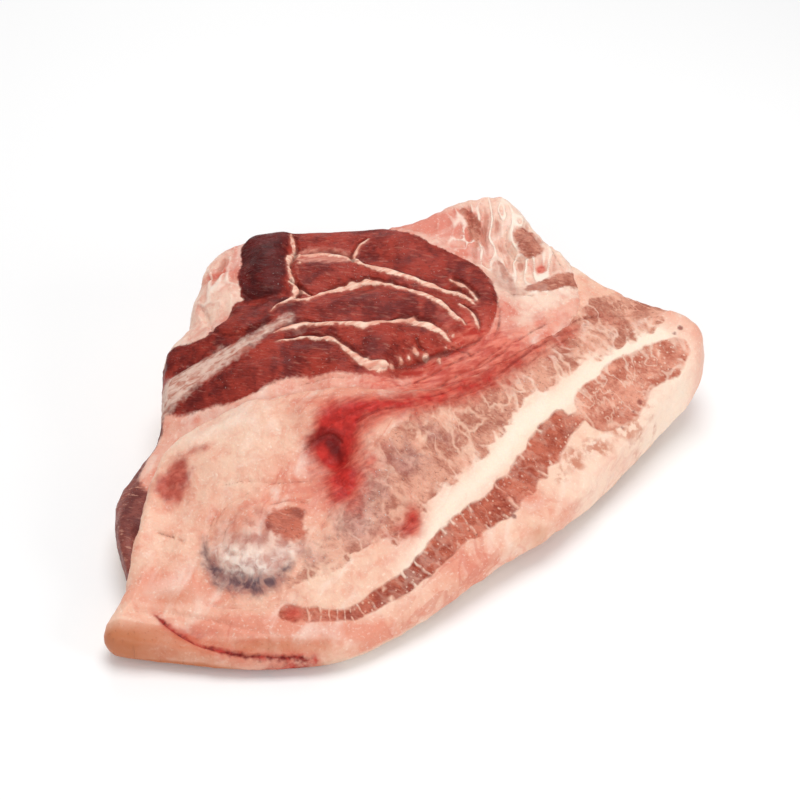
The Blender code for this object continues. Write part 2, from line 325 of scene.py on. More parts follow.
red_muscle = smooth_line(
    (-72, 112), (-20, 112), (-15, 99), (-5, 92), (4, 86), (16, 79), (25, 73), (31, 66), (34, 58), (36.5, 45),
    (35, 34), (31, 26), (24, 14), (0, -10), (-60, -25), (-78, -20), (-76, 8), (-70, 32), (-68, 52), (-70, 72),
    closed=True,
)
left_muscle = smooth_line(
    (-140, -26), (-140, 34), (-118, 38), (-112, 38), (-102, 36), (-96, 38), (-91, 43), (-88, 52), (-84, 56),
    (-66, 57), (-55, 50), (-50, 20), (-60, -26), closed=True,
)
dark_block = smooth_line(
    (-85, 94), (-77, 106), (-66, 108), (-61, 100), (-62, 88), (-63, 66), (-65, 57), (-79, 55), (-84, 59),
    (-86, 76), closed=True,
)
low_block = smooth_line(
    (-98, 38), (-91, 44), (-86, 53), (-76, 52), (-62, 55), (-55, 46), (-64, 41), (-80, 34), closed=True
)
upper_roll = smooth_line((-124, 30), (-113, 33), (-102, 32), (-90, 31), (-78, 32))
lower_roll = smooth_line((-120, 2), (-105, 5), (-92, 8), (-76, 11), (-62, 14))
side_lobe = smooth_line(
    (-150, -20), (-135, 0), (-122, 0), (-112, -4), (-104, -20), (-104, -92), (-132, -98), (-150, -60),
    closed=True,
)
silverskin = smooth_line(
    (-128, 4), (-117, 12), (-110, 14), (-101, 19), (-89, 23), (-78, 28), (-69, 35), (-60, 40)
)
thin_membrane = smooth_line(
    (-60, 84), (-52, 88), (-43, 86), (-33, 83), (-31, 77), (-38, 76), (-47, 77), (-57, 79), closed=True
)
# The pink tissue that runs up from under the flap's rim onto the muscles.
rim_tissue = smooth_line(
    (-117, -2), (-110, 0), (-96, 0.5), (-77, 1), (-70, 4.5), (-60, 7), (-45, 5.5), (-30, 3), (-17, 1),
    (-9, 4), (3, 9.5), (15, 16), (25, 22), (34, 26), (43, 31), (54, 38), (64, 48), (84, 56), (84, -20),
    (0, -45), (-117, -45), closed=True,
)
fascia_courses = (
    # the cream edges of the muscle's lobes, each with its half widths and its height in millimetres
    (((-60, 84), (-47, 84), (-38, 82), (-30, 76), (-26, 72), (-16, 67), (-9, 64), (5, 58), (17, 52),
      (26, 42)), (0.5, 0.9, 0.8, 1.4, 0.9, 1.2, 1.3, 0.9, 1.1, 0.5), 1.0),
    (((-29, 75), (-31, 80), (-29, 86), (-24, 90)), (0.9, 0.6, 0.4), 0.5),
    (((-69, 44), (-60, 51), (-51, 52), (-42, 59), (-33, 61), (-23, 61), (-9, 55), (5, 46), (14, 35),
      (21, 29)), (0.5, 0.8, 1.0, 1.3, 1.6, 1.1, 1.3, 1.5, 0.9, 0.5), 1.2),
    (((-67, 32), (-55, 36), (-46, 34), (-32, 30), (-23, 27), (-14, 32), (-7, 33), (0, 30), (7, 26), (14, 22)),
     (0.5, 1.0, 0.8, 1.4, 1.5, 1.2, 1.0, 1.5, 0.9, 0.5), 1.0),
    (((-66, 25), (-55, 28), (-46, 25), (-40, 23), (-34, 16), (-27, 9), (-20, 6.5), (-14, 7)),
     (0.4, 0.7, 0.6, 0.9, 0.7, 1.2, 2.0, 1.2), 0.8),
    (((18, 44), (24, 36), (27, 28)), (0.5, 0.9, 0.5), 0.7),
    (((-62, 64), (-56, 61), (-51, 56)), (0.4, 0.8, 0.3), 0.4),
    (((14, 62), (22, 54), (27, 44)), (0.3, 0.6, 0.4), 0.4),
    (((-62, 98), (-60, 88), (-62, 78), (-61, 68), (-58, 60), (-60, 50)), (0.3, 0.8, 1.0, 0.7, 1.0, 0.4), 0.5),
)
# Torn bits of the same tissue: x, y and radius in millimetres.
fascia_bits = (
    (-17, 6.5, 2.0), (-13.5, 7, 1.4), (-18.5, 3.5, 1.1), (-2, 16, 0.9), (2.5, 14.5, 1.1), (-9, 11, 0.9),
    (9, 14, 0.9), (15, 24, 0.7), (-24, 9, 0.8), (-58, 84, 1.2), (-57, 77, 0.8), (-61, 70, 0.9),
    (12, 19, 0.6), (-5, 13, 0.6),
)
bed_creases = (
    # line, half width and depth in millimetres, and how dark its painted shade is
    (((34, 52), (37, 40), (36, 30), (33, 24)), 1.2, 0.9, 0.5),
    (((-98, 47), (-96, 39), (-88, 34), (-78, 35), (-66, 41)), 1.0, 1.3, 0.8),
    (((-116, 22), (-104, 26), (-92, 28), (-80, 33)), 0.8, 0.6, 0.4),
    (((-61, 96), (-60, 84), (-61, 70)), 0.9, 0.8, 0.3),
    (((-84, 62), (-78, 56), (-68, 57)), 0.9, 0.9, 0.6),
    (((-52, 102), (-36, 104), (-22, 101)), 0.8, 0.8, 0.6),
    (((-108, 76), (-98, 75), (-88, 78)), 1.1, 1.4, 0.2),
    (((-104, 62), (-101, 54), (-99, 46)), 1.3, 1.2, 0.2),
    (((24, 108), (25, 96), (24, 87)), 0.9, 1.0, 0.1),
    (((30, 106), (31, 96), (33, 86)), 0.9, 1.0, 0.1),
    (((37, 100), (40, 86), (43, 74)), 1.2, 1.0, 0.1),
    (((42, 52), (47, 54), (54, 53)), 1.0, 1.4, 0.5),
    (((62, 92), (65, 82), (69, 74)), 1.0, 1.1, 0.4),
    (((43, 98), (42, 88), (46, 80), (54, 78)), 1.3, 1.2, 0.3),
    (((-2, 22), (0, 18), (4, 16)), 1.0, 1.3, 1.0),
    (((14, 21), (19, 19), (25, 18)), 1.0, 1.0, 0.9),
    (((-58, 4), (-45, 3), (-31, 1), (-18, 0)), 0.8, 0.8, 0.7),
    (((-13, -4), (-4, 3), (5, 9), (18, 15), (32, 23)), 0.6, 0.8, 0.8),
    (((2, 0), (14, 7), (28, 15), (42, 26)), 0.6, 0.8, 0.6),
    (((24, 12), (38, 20), (52, 32), (64, 44)), 0.6, 0.8, 0.9),
    (((-27, 4.5), (-18, 5), (-10, 8), (0, 12.5), (12, 17.5), (23, 22), (34, 29)), 1.1, 1.1, 1.0),
)
kernel_courses = (
    # lean in the fat of the back corner: line, half widths in millimetres, and how ragged it is
    (((50, 92), (54, 83)), (4.5, 5), 0.4),
    (((52, 58), (62, 62), (72, 68)), (2.5, 4, 5), 1.2),
    (((22, 104), (26, 96), (28, 86)), (2, 3, 1.5), 1.2),
    (((44, 56), (42, 68), (38, 78)), (1.5, 2.5, 1), 1.2),
)
fascia_courses, bed_creases, kernel_courses = map(as_lines, (fascia_courses, bed_creases, kernel_courses))


def bed_detail(at):
    """Where the bed is split finely: beside its courses and creases."""
    beside = [abs(near(line, at)[0]) < BED_FINE for line, *_ in fascia_courses + bed_creases]
    return np.logical_or.reduce(beside) & (near(flap_rim, at, FAR)[0] > -1 * MM)


bed_mesh = trimmed(skin, front=False)
split_inside(bed_mesh, bed_detail)
bed_data = rounded_mesh(bed_mesh, "muscle_bed")
place, _, at, height, above_sole, on_top = surveyed(bed_data, 0.25, 0.6)
on_wall = 1 - on_top

rim_side, _ = near(flap_rim, at, FAR)
ridge_side, ridge_along = near(flap_ridge, at, FAR)
fade = smooth_step(0, 0.15, ridge_along) * (1 - smooth_step(0.68, 1, ridge_along))
rise = -FLAP_DROP * fade * (1 - smooth_step(0, FLAP_DROP_WIDTH, ridge_side)) * on_top
rise -= FLUSH_STEP * (1 - smooth_step(0, 3 * MM, rim_side))
rise -= TUCK * (1 - smooth_step(-3 * MM, -0.3 * MM, rim_side))

coarse, middle, fine, ragged, broken = unevenness(place, 1.4)

# The muscle ends about 20 mm above the sole. On the cut back wall its section is a lens, deepest at
# x = -48 mm and 37 mm to each side, and on the left wall a shallower one round y = 10 mm.
muscle_floor = 20 * MM + 3 * MM * waves(place * (1, 1, 0), 30 * MM, 3.0)
back_wall = smooth_step(55 * MM, 85 * MM, at[:, 1])
left_wall = smooth_step(-95 * MM, -110 * MM, at[:, 0])
muscle_floor += lens_floor(at[:, 0] / MM + 48, 37, 1.2, 30) * back_wall * on_wall
muscle_floor += 7 * MM * waves(place, 15 * MM, 5.0) * on_wall
muscle_floor += lens_floor(at[:, 1] / MM - 10, 28, 1.1, 14) * left_wall * on_wall
wall_sway = 9 * MM * waves(place, 17 * MM, 33.0) * on_wall
block = np.minimum(depth_in(dark_block, at) + ragged * 0.6, height - muscle_floor)
low = depth_in(low_block, at) + ragged * 0.7
muscle = np.maximum.reduce([depth_in(red_muscle, at), depth_in(left_muscle, at), block, low]) + ragged * 0.4
muscle = np.minimum(muscle + wall_sway, height - muscle_floor)
lobe = np.minimum(depth_in(side_lobe, at) + wall_sway, height - 9 * MM - 3 * MM * coarse) + ragged * 0.3
muscle = np.maximum(muscle, lobe)
tissue = depth_in(rim_tissue, at) + ragged * 0.5
rolls = np.maximum(
    0.55 * smooth_step(-3 * MM, 3 * MM, depth_in_band(upper_roll, (6, 6, 5, 2), at)),
    0.45 * smooth_step(-4 * MM, 4 * MM, depth_in_band(lower_roll, (7, 8, 7, 2), at)),
)
deep = np.maximum(smooth_step(-3 * MM, 3 * MM, block), 0.5 * smooth_step(-3 * MM, 3 * MM, low))
deep = np.maximum(deep, rolls) * smooth_step(-1.5 * MM, 0.5 * MM, muscle)
silver = depth_in_band(silverskin, (9, 8, 7, 5.4, 4, 3, 2.2, 1), at) + ragged * 1.1

fascia = np.full(len(at), -REACH)
shadow = np.full(len(at), -REACH)
for line, half_widths, lift in fascia_courses:
    side, along = near(line, at)
    half = 1.3 * widths_along(along, half_widths) * tapered(along, 0.05) * (1 + 0.8 * middle)
    held = abs(side + ragged * 0.3)
    fascia = np.maximum(fascia, half - held)
    # A groove runs behind each cream edge, with a painted shadow line in it.
    behind = abs(side - half - 0.7 * MM)
    shadow = np.maximum(shadow, 0.75 * MM * tapered(along, 0.15) * broken - behind)
    rise += lift * MM * tapered(along, 0.05) * bell(held, half + 0.4 * MM)
    rise -= 1.1 * MM * tapered(along, 0.1) * bell(behind, 0.8 * MM)
for x, y, radius in fascia_bits:
    away = np.hypot(at[:, 0] - x * MM, at[:, 1] - y * MM) + ragged * 0.5
    fascia = np.maximum(fascia, radius * MM - away)
    rise += 0.9 * MM * bell(away, radius * MM)
press_in(bed_creases, at, ragged * 0.4, 0.2, broken, on_top, rise, shadow)

in_muscle = smooth_step(-0.6 * MM, 0.6 * MM, muscle)
rise += 1.1 * MM * smooth_step(-2 * MM, 3 * MM, np.maximum(block, low)) * (1 + 1.2 * coarse) * above_sole
rise += 0.8 * MM * smooth_step(0, 0.5, rolls) * on_top
rise -= 0.5 * MM * bell(muscle, 1.2 * MM) * on_top
rise += 0.4 * MM * smooth_step(-0.8 * MM, 0.8 * MM, silver) * on_top
rise += 0.5 * MM * smooth_step(-0.5 * MM, 0.8 * MM, tissue) * on_top
grain_way = place * (0.35, 1.0, 1.0)
grain = 0.30 * waves(grain_way, 3.2 * MM, 5.0) + 0.12 * waves(grain_way, 1.3 * MM, 9.0)
rise += in_muscle * above_sole * MM * (grain + on_wall * 0.4 * middle)
rise += (1 - in_muscle) * above_sole * MM * (0.45 * middle + 0.18 * fine)
back_corner = spots(at, (38, 92, 26, 24, 1.2), (55, 66, 18, 16, 1.0), (-96, 74, 14, 30, 0.8)).clip(0, 1)
back_corner *= 1 - in_muscle
cords = folds(place * (1.0, 0.4, 0.6) + waves(place, 14 * MM, 23.0)[:, None] * 2 * MM, 5 * MM, 21.0)
rise += back_corner * above_sole * MM * 1.1 * cords
humps = spots(
    at, (52, 88, 6, 6, 1.5), (58, 72, 2.2, 2.2, -2.2), (-108, 82, 9, 8, 1.5), (-100, 64, 7, 9, 1.2),
    (-15, 7, 4, 2.5, 1.2), (-8, 11, 3, 2, 0.9), (2, 15, 3, 2, 0.9),
)
rise += humps * MM * on_top
move_out(bed_data, rise)

# Painted shade in the gap under the flap's rim.
shade_in_gap_behind_flap = (2.2 * MM - abs(rim_side - 0.5 * MM) + 0.5 * ragged) * fade - 4 * MM * (1 - fade)
kernel = np.maximum.reduce(
    [depth_in_band(line, widths, at) + ragged * fray for line, widths, fray in kernel_courses]
)
kernel = np.minimum(kernel, (on_top * 20 - 8) * MM)
# On the cut walls a broken band of lean runs about 33 mm above the sole.
from_band = abs(height - 33 * MM - 9 * MM * waves(place, 45 * MM, 17.0))
strata = (2.4 + 5 * waves(place, 34 * MM, 19.0)) * MM - from_band + ragged
store(
    bed_data,
    muscle=muscle / MM,
    deep=deep,
    purple=lobe / MM,
    silver=np.minimum.reduce([silver, height - 26 * MM - wall_sway, muscle + 2 * MM]) / MM,
    tissue=tissue / MM,
    fascia=fascia / MM,
    shadow=np.maximum(shadow, shade_in_gap_behind_flap) / MM,
    # The back corner's colour follows its cords: painted shade in their hollows, and a painted highlight on
    # their crests.
    cords=back_corner * smooth_step(0.3, -0.6, cords),
    crests=back_corner * smooth_step(0.4, 0.95, cords),
    blush=spots(
        at, (-30, 100, 40, 5, 0.6), (12, 97, 18, 11, 0.9), (26, 94, 8, 12, 0.5), (-86, 84, 4, 20, 0.9),
        (-94, 75, 9, 3, 0.9), (40, 40, 8, 10, 0.7), (-93, 45, 5, 6, 0.7), (22, 80, 12, 5, 0.8),
    ).clip(0, 1),
    redness=(
        spots(at, (-10, -2, 18, 8, 0.7), (12, 8, 18, 9, 1.1), (36, 22, 18, 10, 1.1), (60, 40, 16, 9, 0.6))
        + spots(at, (26, 48, 10, 14, 0.35), (16, 30, 16, 12, 0.3), (58, 72, 2.2, 2.2, 1.6))
        + spots(at, (-93, 76, 9, 2, 0.7), (14, 84, 14, 4, 0.5), (25, 98, 3, 9, 0.5))
    ).clip(0, 1.2),
    haze=spots(
        at, (42, 58, 9, 12, 0.9), (38, 74, 6, 10, 0.6), (58, 60, 9, 7, 0.4), (-58, 33, 12, 5, 0.5)
    ).clip(0, 1),
    membrane=depth_in(thin_membrane, at) / MM,
    kernel=kernel / MM,
    strata=strata / MM * on_wall - 3 * on_top,
)

# What the two halves are made of. Each is a node group that gives a colour and a height, and a material
# lays them over each other by the stored depths and shares.


def paint(red, green, blue):
    """A colour given as it looks on a screen, from 0 to 255, as the linear values that shaders take."""
    return (*[((value / 255 + 0.055) / 1.055) ** 2.4 for value in (red, green, blue)], 1.0)


def node(tree, kind, inputs=(), **settings):
    """A new shader node, with its inputs given as values or as sockets to link."""
    made = tree.nodes.new("ShaderNode" + kind)
    for name, value in settings.items():
        setattr(made, name, value)
    for name, value in dict(inputs).items():
        if isinstance(value, bpy.types.NodeSocket):
            tree.links.new(value, made.inputs[name])
        else:
            made.inputs[name].default_value = value
    return made


def maths(tree, operation, first, *others):
    """The result of one operation on a value and each other value in turn."""
    for other in others or (0.0,):
        first = node(tree, "Math", {0: first, 1: other}, operation=operation).outputs[0]
    return first


def times(tree, *values):
    return maths(tree, "MULTIPLY", *values)


def ease(tree, value, low, high):
    """0 where the value is below low, 1 above high, and a smooth change between."""
    inputs = {"Value": value, "From Min": low, "From Max": high}
    return node(tree, "MapRange", inputs, interpolation_type="SMOOTHSTEP").outputs[0]


def blend(tree, share, first, second):
    """The first colour where share is 0, the second where it is 1."""
    return node(tree, "Mix", {0: share, 6: first, 7: second}, data_type="RGBA").outputs[2]


def blend_values(tree, share, first, second):
    return node(tree, "Mix", {0: share, 2: first, 3: second}).outputs[0]


def stored(tree, name):
    return node(tree, "Attribute", attribute_name=name).outputs["Fac"]


def object_place(tree, stretch=(1.0, 1.0, 1.0), turn=0.0):
    """Object coordinates, stretched, and turned about Z by an angle in degrees."""
    place = node(tree, "TexCoord").outputs["Object"]
    inputs = {"Vector": place, "Scale": stretch, "Rotation": (0.0, 0.0, math.radians(turn))}
    return node(tree, "Mapping", inputs, vector_type="TEXTURE").outputs[0]


def clouds(tree, place, size, detail=3.0, warp=0.0):
    """Random clouds of that size in metres, from 0 to 1."""
    inputs = {"Vector": place, "Scale": 1.0 / size, "Detail": detail, "Distortion": warp}
    return node(tree, "TexNoise", inputs).outputs[0]


def drift(tree, place, size, spread, detail=3.0, warp=0.0):
    """Clouds about zero, from -spread/2 to spread/2."""
    centred = maths(tree, "SUBTRACT", clouds(tree, place, size, detail, warp), 0.5)
    return times(tree, centred, spread)


def veins(tree, place, size, width, warp=0.6):
    """Thin lines that wander and join, 1 on a line. Their width is a share of the size."""
    away = maths(tree, "ABSOLUTE", drift(tree, place, size, 1.0, 2.0, warp))
    return ease(tree, away, width, times(tree, width, 0.35))


def cells(tree, place, size):
    """Random cells seen from above: the way to each one's middle as a share of the size, and a colour."""
    settings = {"feature": "F1", "voronoi_dimensions": "2D"}
    return node(tree, "TexVoronoi", {"Vector": place, "Scale": 1.0 / size}, **settings).outputs


def new_group(name, inputs, outputs):
    """A node group with named sockets. Returns (group, its input's sockets, its output's sockets)."""
    tree = bpy.data.node_groups.new(name, "ShaderNodeTree")
    kinds = {"colour": "NodeSocketColor", "value": "NodeSocketFloat"}
    for direction, sockets in (("INPUT", inputs), ("OUTPUT", outputs)):
        for label, kind in sockets.items():
            tree.interface.new_socket(label, in_out=direction, socket_type=kinds[kind])
    return tree, tree.nodes.new("NodeGroupInput").outputs, tree.nodes.new("NodeGroupOutput").inputs


def use_group(tree, group, **inputs):
    """The outputs of a group placed in a tree, with its inputs given by name."""
    made = tree.nodes.new("ShaderNodeGroup")
    made.node_tree = group
    for name, value in inputs.items():
        socket = made.inputs[name.capitalize()]
        if isinstance(value, bpy.types.NodeSocket):
            tree.links.new(value, socket)
        else:
            socket.default_value = value
    return list(made.outputs)


SURFACE = {"Colour": "colour", "Height": "value"}


def fat_group():
    """Raw fat: cream that drifts to pink, with a whitish veil in places, faint red veins and a lumpy skin."""
    tree, given, out = new_group("soft_fat", {"Cream": "colour", "Pink": "colour", "Blush": "value"}, SURFACE)
    place = object_place(tree)
    drawn = object_place(tree, stretch=(1.0, 2.4, 1.0), turn=-24.0)
    wide = ease(tree, clouds(tree, place, 0.030, 4.0, 0.4), 0.36, 0.68)
    small = ease(tree, clouds(tree, place, 0.0055, 5.0, 0.8), 0.40, 0.75)
    share = maths(tree, "ADD", times(tree, wide, 0.45), times(tree, small, 0.40))
    share = maths(tree, "ADD", share, given["Blush"])
    colour = blend(tree, maths(tree, "MINIMUM", share, 1.0), given["Cream"], given["Pink"])
    veil = ease(tree, clouds(tree, drawn, 0.013, 5.0, 0.9), 0.48, 0.74)
    colour = blend(tree, times(tree, veil, 0.55), colour, paint(248, 226, 212))
    vessel = times(tree, veins(tree, drawn, 0.013, 0.035), ease(tree, wide, 0.3, 1.0), 0.35)
    colour = blend(tree, vessel, colour, paint(206, 104, 86))
    speck = ease(tree, clouds(tree, place, 0.0013, 3.0), 0.55, 0.75)
    colour = blend(tree, times(tree, speck, 0.35), colour, paint(255, 240, 224))
    lumps = times(tree, clouds(tree, place, 0.0040, 3.0), 0.7)
    height = maths(tree, "ADD", lumps, times(tree, clouds(tree, place, 0.0012, 3.0), 0.3))
    tree.links.new(colour, out["Colour"])
    tree.links.new(height, out["Height"])
    return tree


def muscle_group():
    """Muscle: two tones that drift into each other, with fine fibres along it and pale flecks."""
    sockets = {"Light": "colour", "Dark": "colour", "Grain": "value"}
    tree, given, out = new_group("muscle_fibre", sockets, SURFACE)
    place = object_place(tree)
    fibres = object_place(tree, stretch=(3.0, 0.8, 1.0), turn=-14.0)
    fibre = clouds(tree, fibres, 0.0010, 3.0)
    share = ease(tree, clouds(tree, place, 0.015, 4.0, 0.6), 0.33, 0.67)
    share = maths(tree, "ADD", share, drift(tree, place, 0.0038, 1.6, 4.0), drift(tree, fibres, 0.0010, 1.2))
    colour = blend(tree, share, given["Dark"], given["Light"])
    fleck = ease(tree, clouds(tree, fibres, 0.0017, 3.0), 0.56, 0.72)
    fleck = times(tree, fleck, given["Grain"])
    colour = blend(tree, fleck, colour, paint(232, 170, 146))
    speck = times(tree, ease(tree, clouds(tree, place, 0.0014, 2.0), 0.60, 0.72), 0.5)
    colour = blend(tree, speck, colour, blend(tree, 0.5, given["Dark"], paint(60, 16, 12)))
    height = maths(tree, "ADD", times(tree, fibre, 0.7), times(tree, fleck, 0.3))
    tree.links.new(colour, out["Colour"])
    tree.links.new(height, out["Height"])
    return tree


def marbling_group():
    """Where lean shows, from its depth in millimetres: uneven lobules with white seams and dots."""
    sockets = {"Depth": "value", "Ragged": "value", "Seams": "value", "Dots": "value"}
    tree, given, out = new_group("marbling", sockets, {"Share": "value"})
    place = object_place(tree)
    across = object_place(tree, stretch=(1.0, 1.7, 1.0), turn=40.0)
    uneven = maths(tree, "ADD", drift(tree, place, 0.007, 5.5, 2.0, 0.4), drift(tree, place, 0.0018, 2.2))
    depth = maths(tree, "ADD", given["Depth"], times(tree, uneven, given["Ragged"]))
    away = maths(tree, "ABSOLUTE", drift(tree, across, 0.012, 1.0, 3.0, 0.4))
    width = times(tree, maths(tree, "ADD", ease(tree, depth, 6.0, 0.0), 0.4), 0.06)
    seam = times(tree, ease(tree, away, width, 0.0), given["Seams"])
    mottle = ease(tree, clouds(tree, across, 0.0026, 5.0, 0.4), 0.52, 0.70)
    mottle = times(tree, mottle, ease(tree, clouds(tree, place, 0.012), 0.40, 0.65))
    mottle = times(tree, mottle, given["Seams"], 0.85)
    grains = cells(tree, place, 0.0029)
    wide = times(tree, clouds(tree, place, 0.0022), 0.5)
    dot = times(tree, ease(tree, grains["Distance"], wide, 0.05), given["Dots"])
    dot = times(tree, dot, ease(tree, grains["Color"], 0.45, 0.65))
    white = maths(tree, "MAXIMUM", seam, mottle, dot)
    share = times(tree, ease(tree, depth, -0.6, 0.8), maths(tree, "SUBTRACT", 1.0, white))
    tree.links.new(share, out["Share"])
    return tree


def skin_group():
    """The rind: smooth tan and pink skin with pores and fine creases."""
    tree, given, out = new_group("rind_skin", {"Pale": "colour", "Tan": "colour", "Tanned": "value"}, SURFACE)
    place = object_place(tree)
    share = times(tree, ease(tree, clouds(tree, place, 0.034, 4.0, 0.5), 0.35, 0.7), 0.45)
    colour = blend(tree, maths(tree, "MAXIMUM", share, given["Tanned"]), given["Pale"], given["Tan"])
    pore = ease(tree, cells(tree, place, 0.0034)["Distance"], 0.16, 0.05)
    colour = blend(tree, times(tree, pore, 0.1), colour, paint(160, 98, 72))
    soft = times(tree, clouds(tree, place, 0.0045, 4.0), 0.5)
    height = maths(tree, "ADD", times(tree, pore, -0.2), soft)
    tree.links.new(colour, out["Colour"])
    tree.links.new(height, out["Height"])
    return tree


soft_fat = fat_group()
muscle_fibre = muscle_group()
marbling = marbling_group()
rind_skin = skin_group()

FAT_CREAM = paint(242, 202, 177)
FAT_PINK = paint(226, 148, 124)
SKIN_PALE = paint(250, 226, 204)
SKIN_TAN = paint(190, 114, 76)
# The colour of painted shade in the creases and gaps.
PAINTED_SHADE_DARK = paint(88, 28, 24)
SKIN_HEIGHT = 0.009  # the rind shows below this height,
SKIN_EDGE = 0.004  # and runs out over this


def lay_over(tree, under, over, share):
    """(colour, height) of one surface laid over another by a share."""
    height = over[1] if len(over) > 1 else under[1]
    return blend(tree, share, under[0], over[0]), blend_values(tree, share, under[1], height)


def share_of(tree, name, fray=1.6, soft=0.35):
    """1 where a stored depth is above zero, with a frayed edge. Fray and soft are in millimetres."""
    ragged = drift(tree, object_place(tree), 0.0024, fray, 4.0)
    return ease(tree, maths(tree, "ADD", stored(tree, name), ragged), -soft, soft)


def patches_of(tree, name, low, high, strength=1.0):
    """A stored share broken into patches."""
    uneven = drift(tree, object_place(tree), 0.007, 1.1, 4.0, 0.5)
    patchy = ease(tree, maths(tree, "ADD", stored(tree, name), uneven), low, high)
    return times(tree, patchy, strength)


def glints(tree, strength):
    """Painted highlights: small pale glints in groups."""
    place = object_place(tree)
    grouped = ease(tree, clouds(tree, place, 0.014, 3.0), 0.44, 0.62)
    sparkle = ease(tree, clouds(tree, place, 0.0011, 2.0), 0.65, 0.72)
    return times(tree, sparkle, grouped, strength)


def rind_share(tree, low, high):
    """1 on the rind below about that height, with an uneven edge, and 0 above it."""
    place = object_place(tree)
    up = node(tree, "SeparateXYZ", {0: place}).outputs["Z"]
    return ease(tree, maths(tree, "ADD", up, drift(tree, place, 0.022, 0.006)), high, low)


def new_material(name):
    material = bpy.data.materials.new(name)
    material.use_nodes = True
    tree = material.node_tree
    return material, tree, tree.nodes["Principled BSDF"]


def finish_material(tree, shader, surface):
    """Joins a surface to a glossy, slightly clear shader. The bump is up to 1.1 mm deep."""
    normal = node(tree, "Bump", {"Height": surface[1], "Distance": 0.0011, "Strength": 0.9}).outputs[0]
    dull = ease(tree, clouds(tree, object_place(tree), 0.006, 3.0), 0.3, 0.7)
    tree.links.new(surface[0], shader.inputs["Base Color"])
    tree.links.new(blend_values(tree, dull, 0.36, 0.56), shader.inputs["Roughness"])
    tree.links.new(normal, shader.inputs["Normal"])
    shader.inputs["Subsurface Weight"].default_value = 0.10
    shader.inputs["Subsurface Radius"].default_value = (0.005, 0.002, 0.0013)
    shader.inputs["Subsurface Scale"].default_value = 1.0
    shader.inputs["Specular IOR Level"].default_value = 0.16
    shader.inputs["Coat Weight"].default_value = 0.06
    shader.inputs["Coat Roughness"].default_value = 0.18


def bed_material():
    material, tree, shader = new_material("bed_meat")
    place = object_place(tree)
    streaks = clouds(tree, object_place(tree, stretch=(3.0, 0.8, 1.0), turn=22.0), 0.0026, 4.0, 0.5)
    surface = use_group(
        tree, soft_fat, cream=paint(240, 208, 188), pink=paint(218, 134, 116), blush=stored(tree, "blush")
    )
    # Painted shade in the hollows between the back corner's cords, and a painted highlight on their crests.
    surface = lay_over(tree, surface, (paint(190, 116, 96), 0.2), patches_of(tree, "cords", 0.1, 0.9, 0.7))
    surface = lay_over(tree, surface, (paint(250, 232, 216), 0.9), patches_of(tree, "crests", 0.2, 0.9, 0.8))
    pale = use_group(tree, muscle_fibre, light=paint(208, 140, 118), dark=paint(166, 92, 74), grain=0.5)
    surface = lay_over(tree, surface, pale, share_of(tree, "strata", soft=0.8))
    surface = lay_over(tree, surface, pale, share_of(tree, "kernel", 3.0, 1.0))
    red = use_group(tree, muscle_fibre, light=paint(164, 56, 42), dark=paint(110, 26, 20), grain=0.16)
    surface = lay_over(tree, surface, red, share_of(tree, "muscle", 2.4, 0.6))
    dark = use_group(tree, muscle_fibre, light=paint(100, 16, 12), dark=paint(70, 6, 6), grain=0.06)
    surface = lay_over(tree, surface, dark, patches_of(tree, "deep", 0.15, 0.95))
    dull = use_group(tree, muscle_fibre, light=paint(150, 82, 72), dark=paint(108, 50, 46), grain=0.5)
    surface = lay_over(tree, surface, dull, share_of(tree, "purple", soft=1.0))
    silver = blend(tree, ease(tree, streaks, 0.3, 0.6), paint(188, 126, 108), paint(228, 196, 180))
    surface = lay_over(tree, surface, (silver, streaks), times(tree, share_of(tree, "silver", 6.0, 3.0), 0.9))
    veil = blend(tree, ease(tree, streaks, 0.3, 0.7), paint(186, 98, 84), paint(226, 160, 140))
    surface = lay_over(tree, surface, (veil, streaks), times(tree, share_of(tree, "membrane", 5.0, 2.0), 0.9))
    haze = blend(tree, clouds(tree, place, 0.003, 4.0), paint(176, 116, 100), paint(232, 196, 180))
    surface = lay_over(tree, surface, (haze,), patches_of(tree, "haze", 0.3, 0.9, 0.8))
    pink = use_group(tree, soft_fat, cream=paint(240, 196, 174), pink=paint(222, 130, 110), blush=0.3)
    surface = lay_over(tree, surface, pink, share_of(tree, "tissue", 3.0, 1.2))
    wash = blend(tree, ease(tree, streaks, 0.35, 0.65), paint(190, 58, 46), paint(226, 118, 98))
    surface = lay_over(tree, surface, (wash, streaks), patches_of(tree, "redness", 0.15, 1.0, 0.85))
    halo = maths(tree, "ADD", stored(tree, "fascia"), drift(tree, place, 0.003, 2.0, 4.0))
    surface = lay_over(tree, surface, (paint(198, 112, 94),), times(tree, ease(tree, halo, -1.6, 0.4), 0.6))
    cream = blend(tree, ease(tree, streaks, 0.3, 0.7), paint(222, 150, 128), paint(248, 212, 190))
    surface = lay_over(tree, surface, (cream, 0.6), share_of(tree, "fascia", 2.2, 0.5))
    # Painted shade: dark lines in the creases, behind the cream edges and in the gap under the flap.
    surface = lay_over(tree, surface, (PAINTED_SHADE_DARK, 0.0), times(tree, share_of(tree, "shadow", 1.6, 0.7), 0.7))
    # Painted highlights: pale glints.
    surface = lay_over(tree, surface, (paint(250, 234, 224), 1.0), glints(tree, 0.2))
    rind = use_group(tree, rind_skin, pale=SKIN_PALE, tan=SKIN_TAN, tanned=0.2)
    surface = lay_over(tree, surface, rind, rind_share(tree, SKIN_HEIGHT - SKIN_EDGE, SKIN_HEIGHT))
    finish_material(tree, shader, surface)
    return material


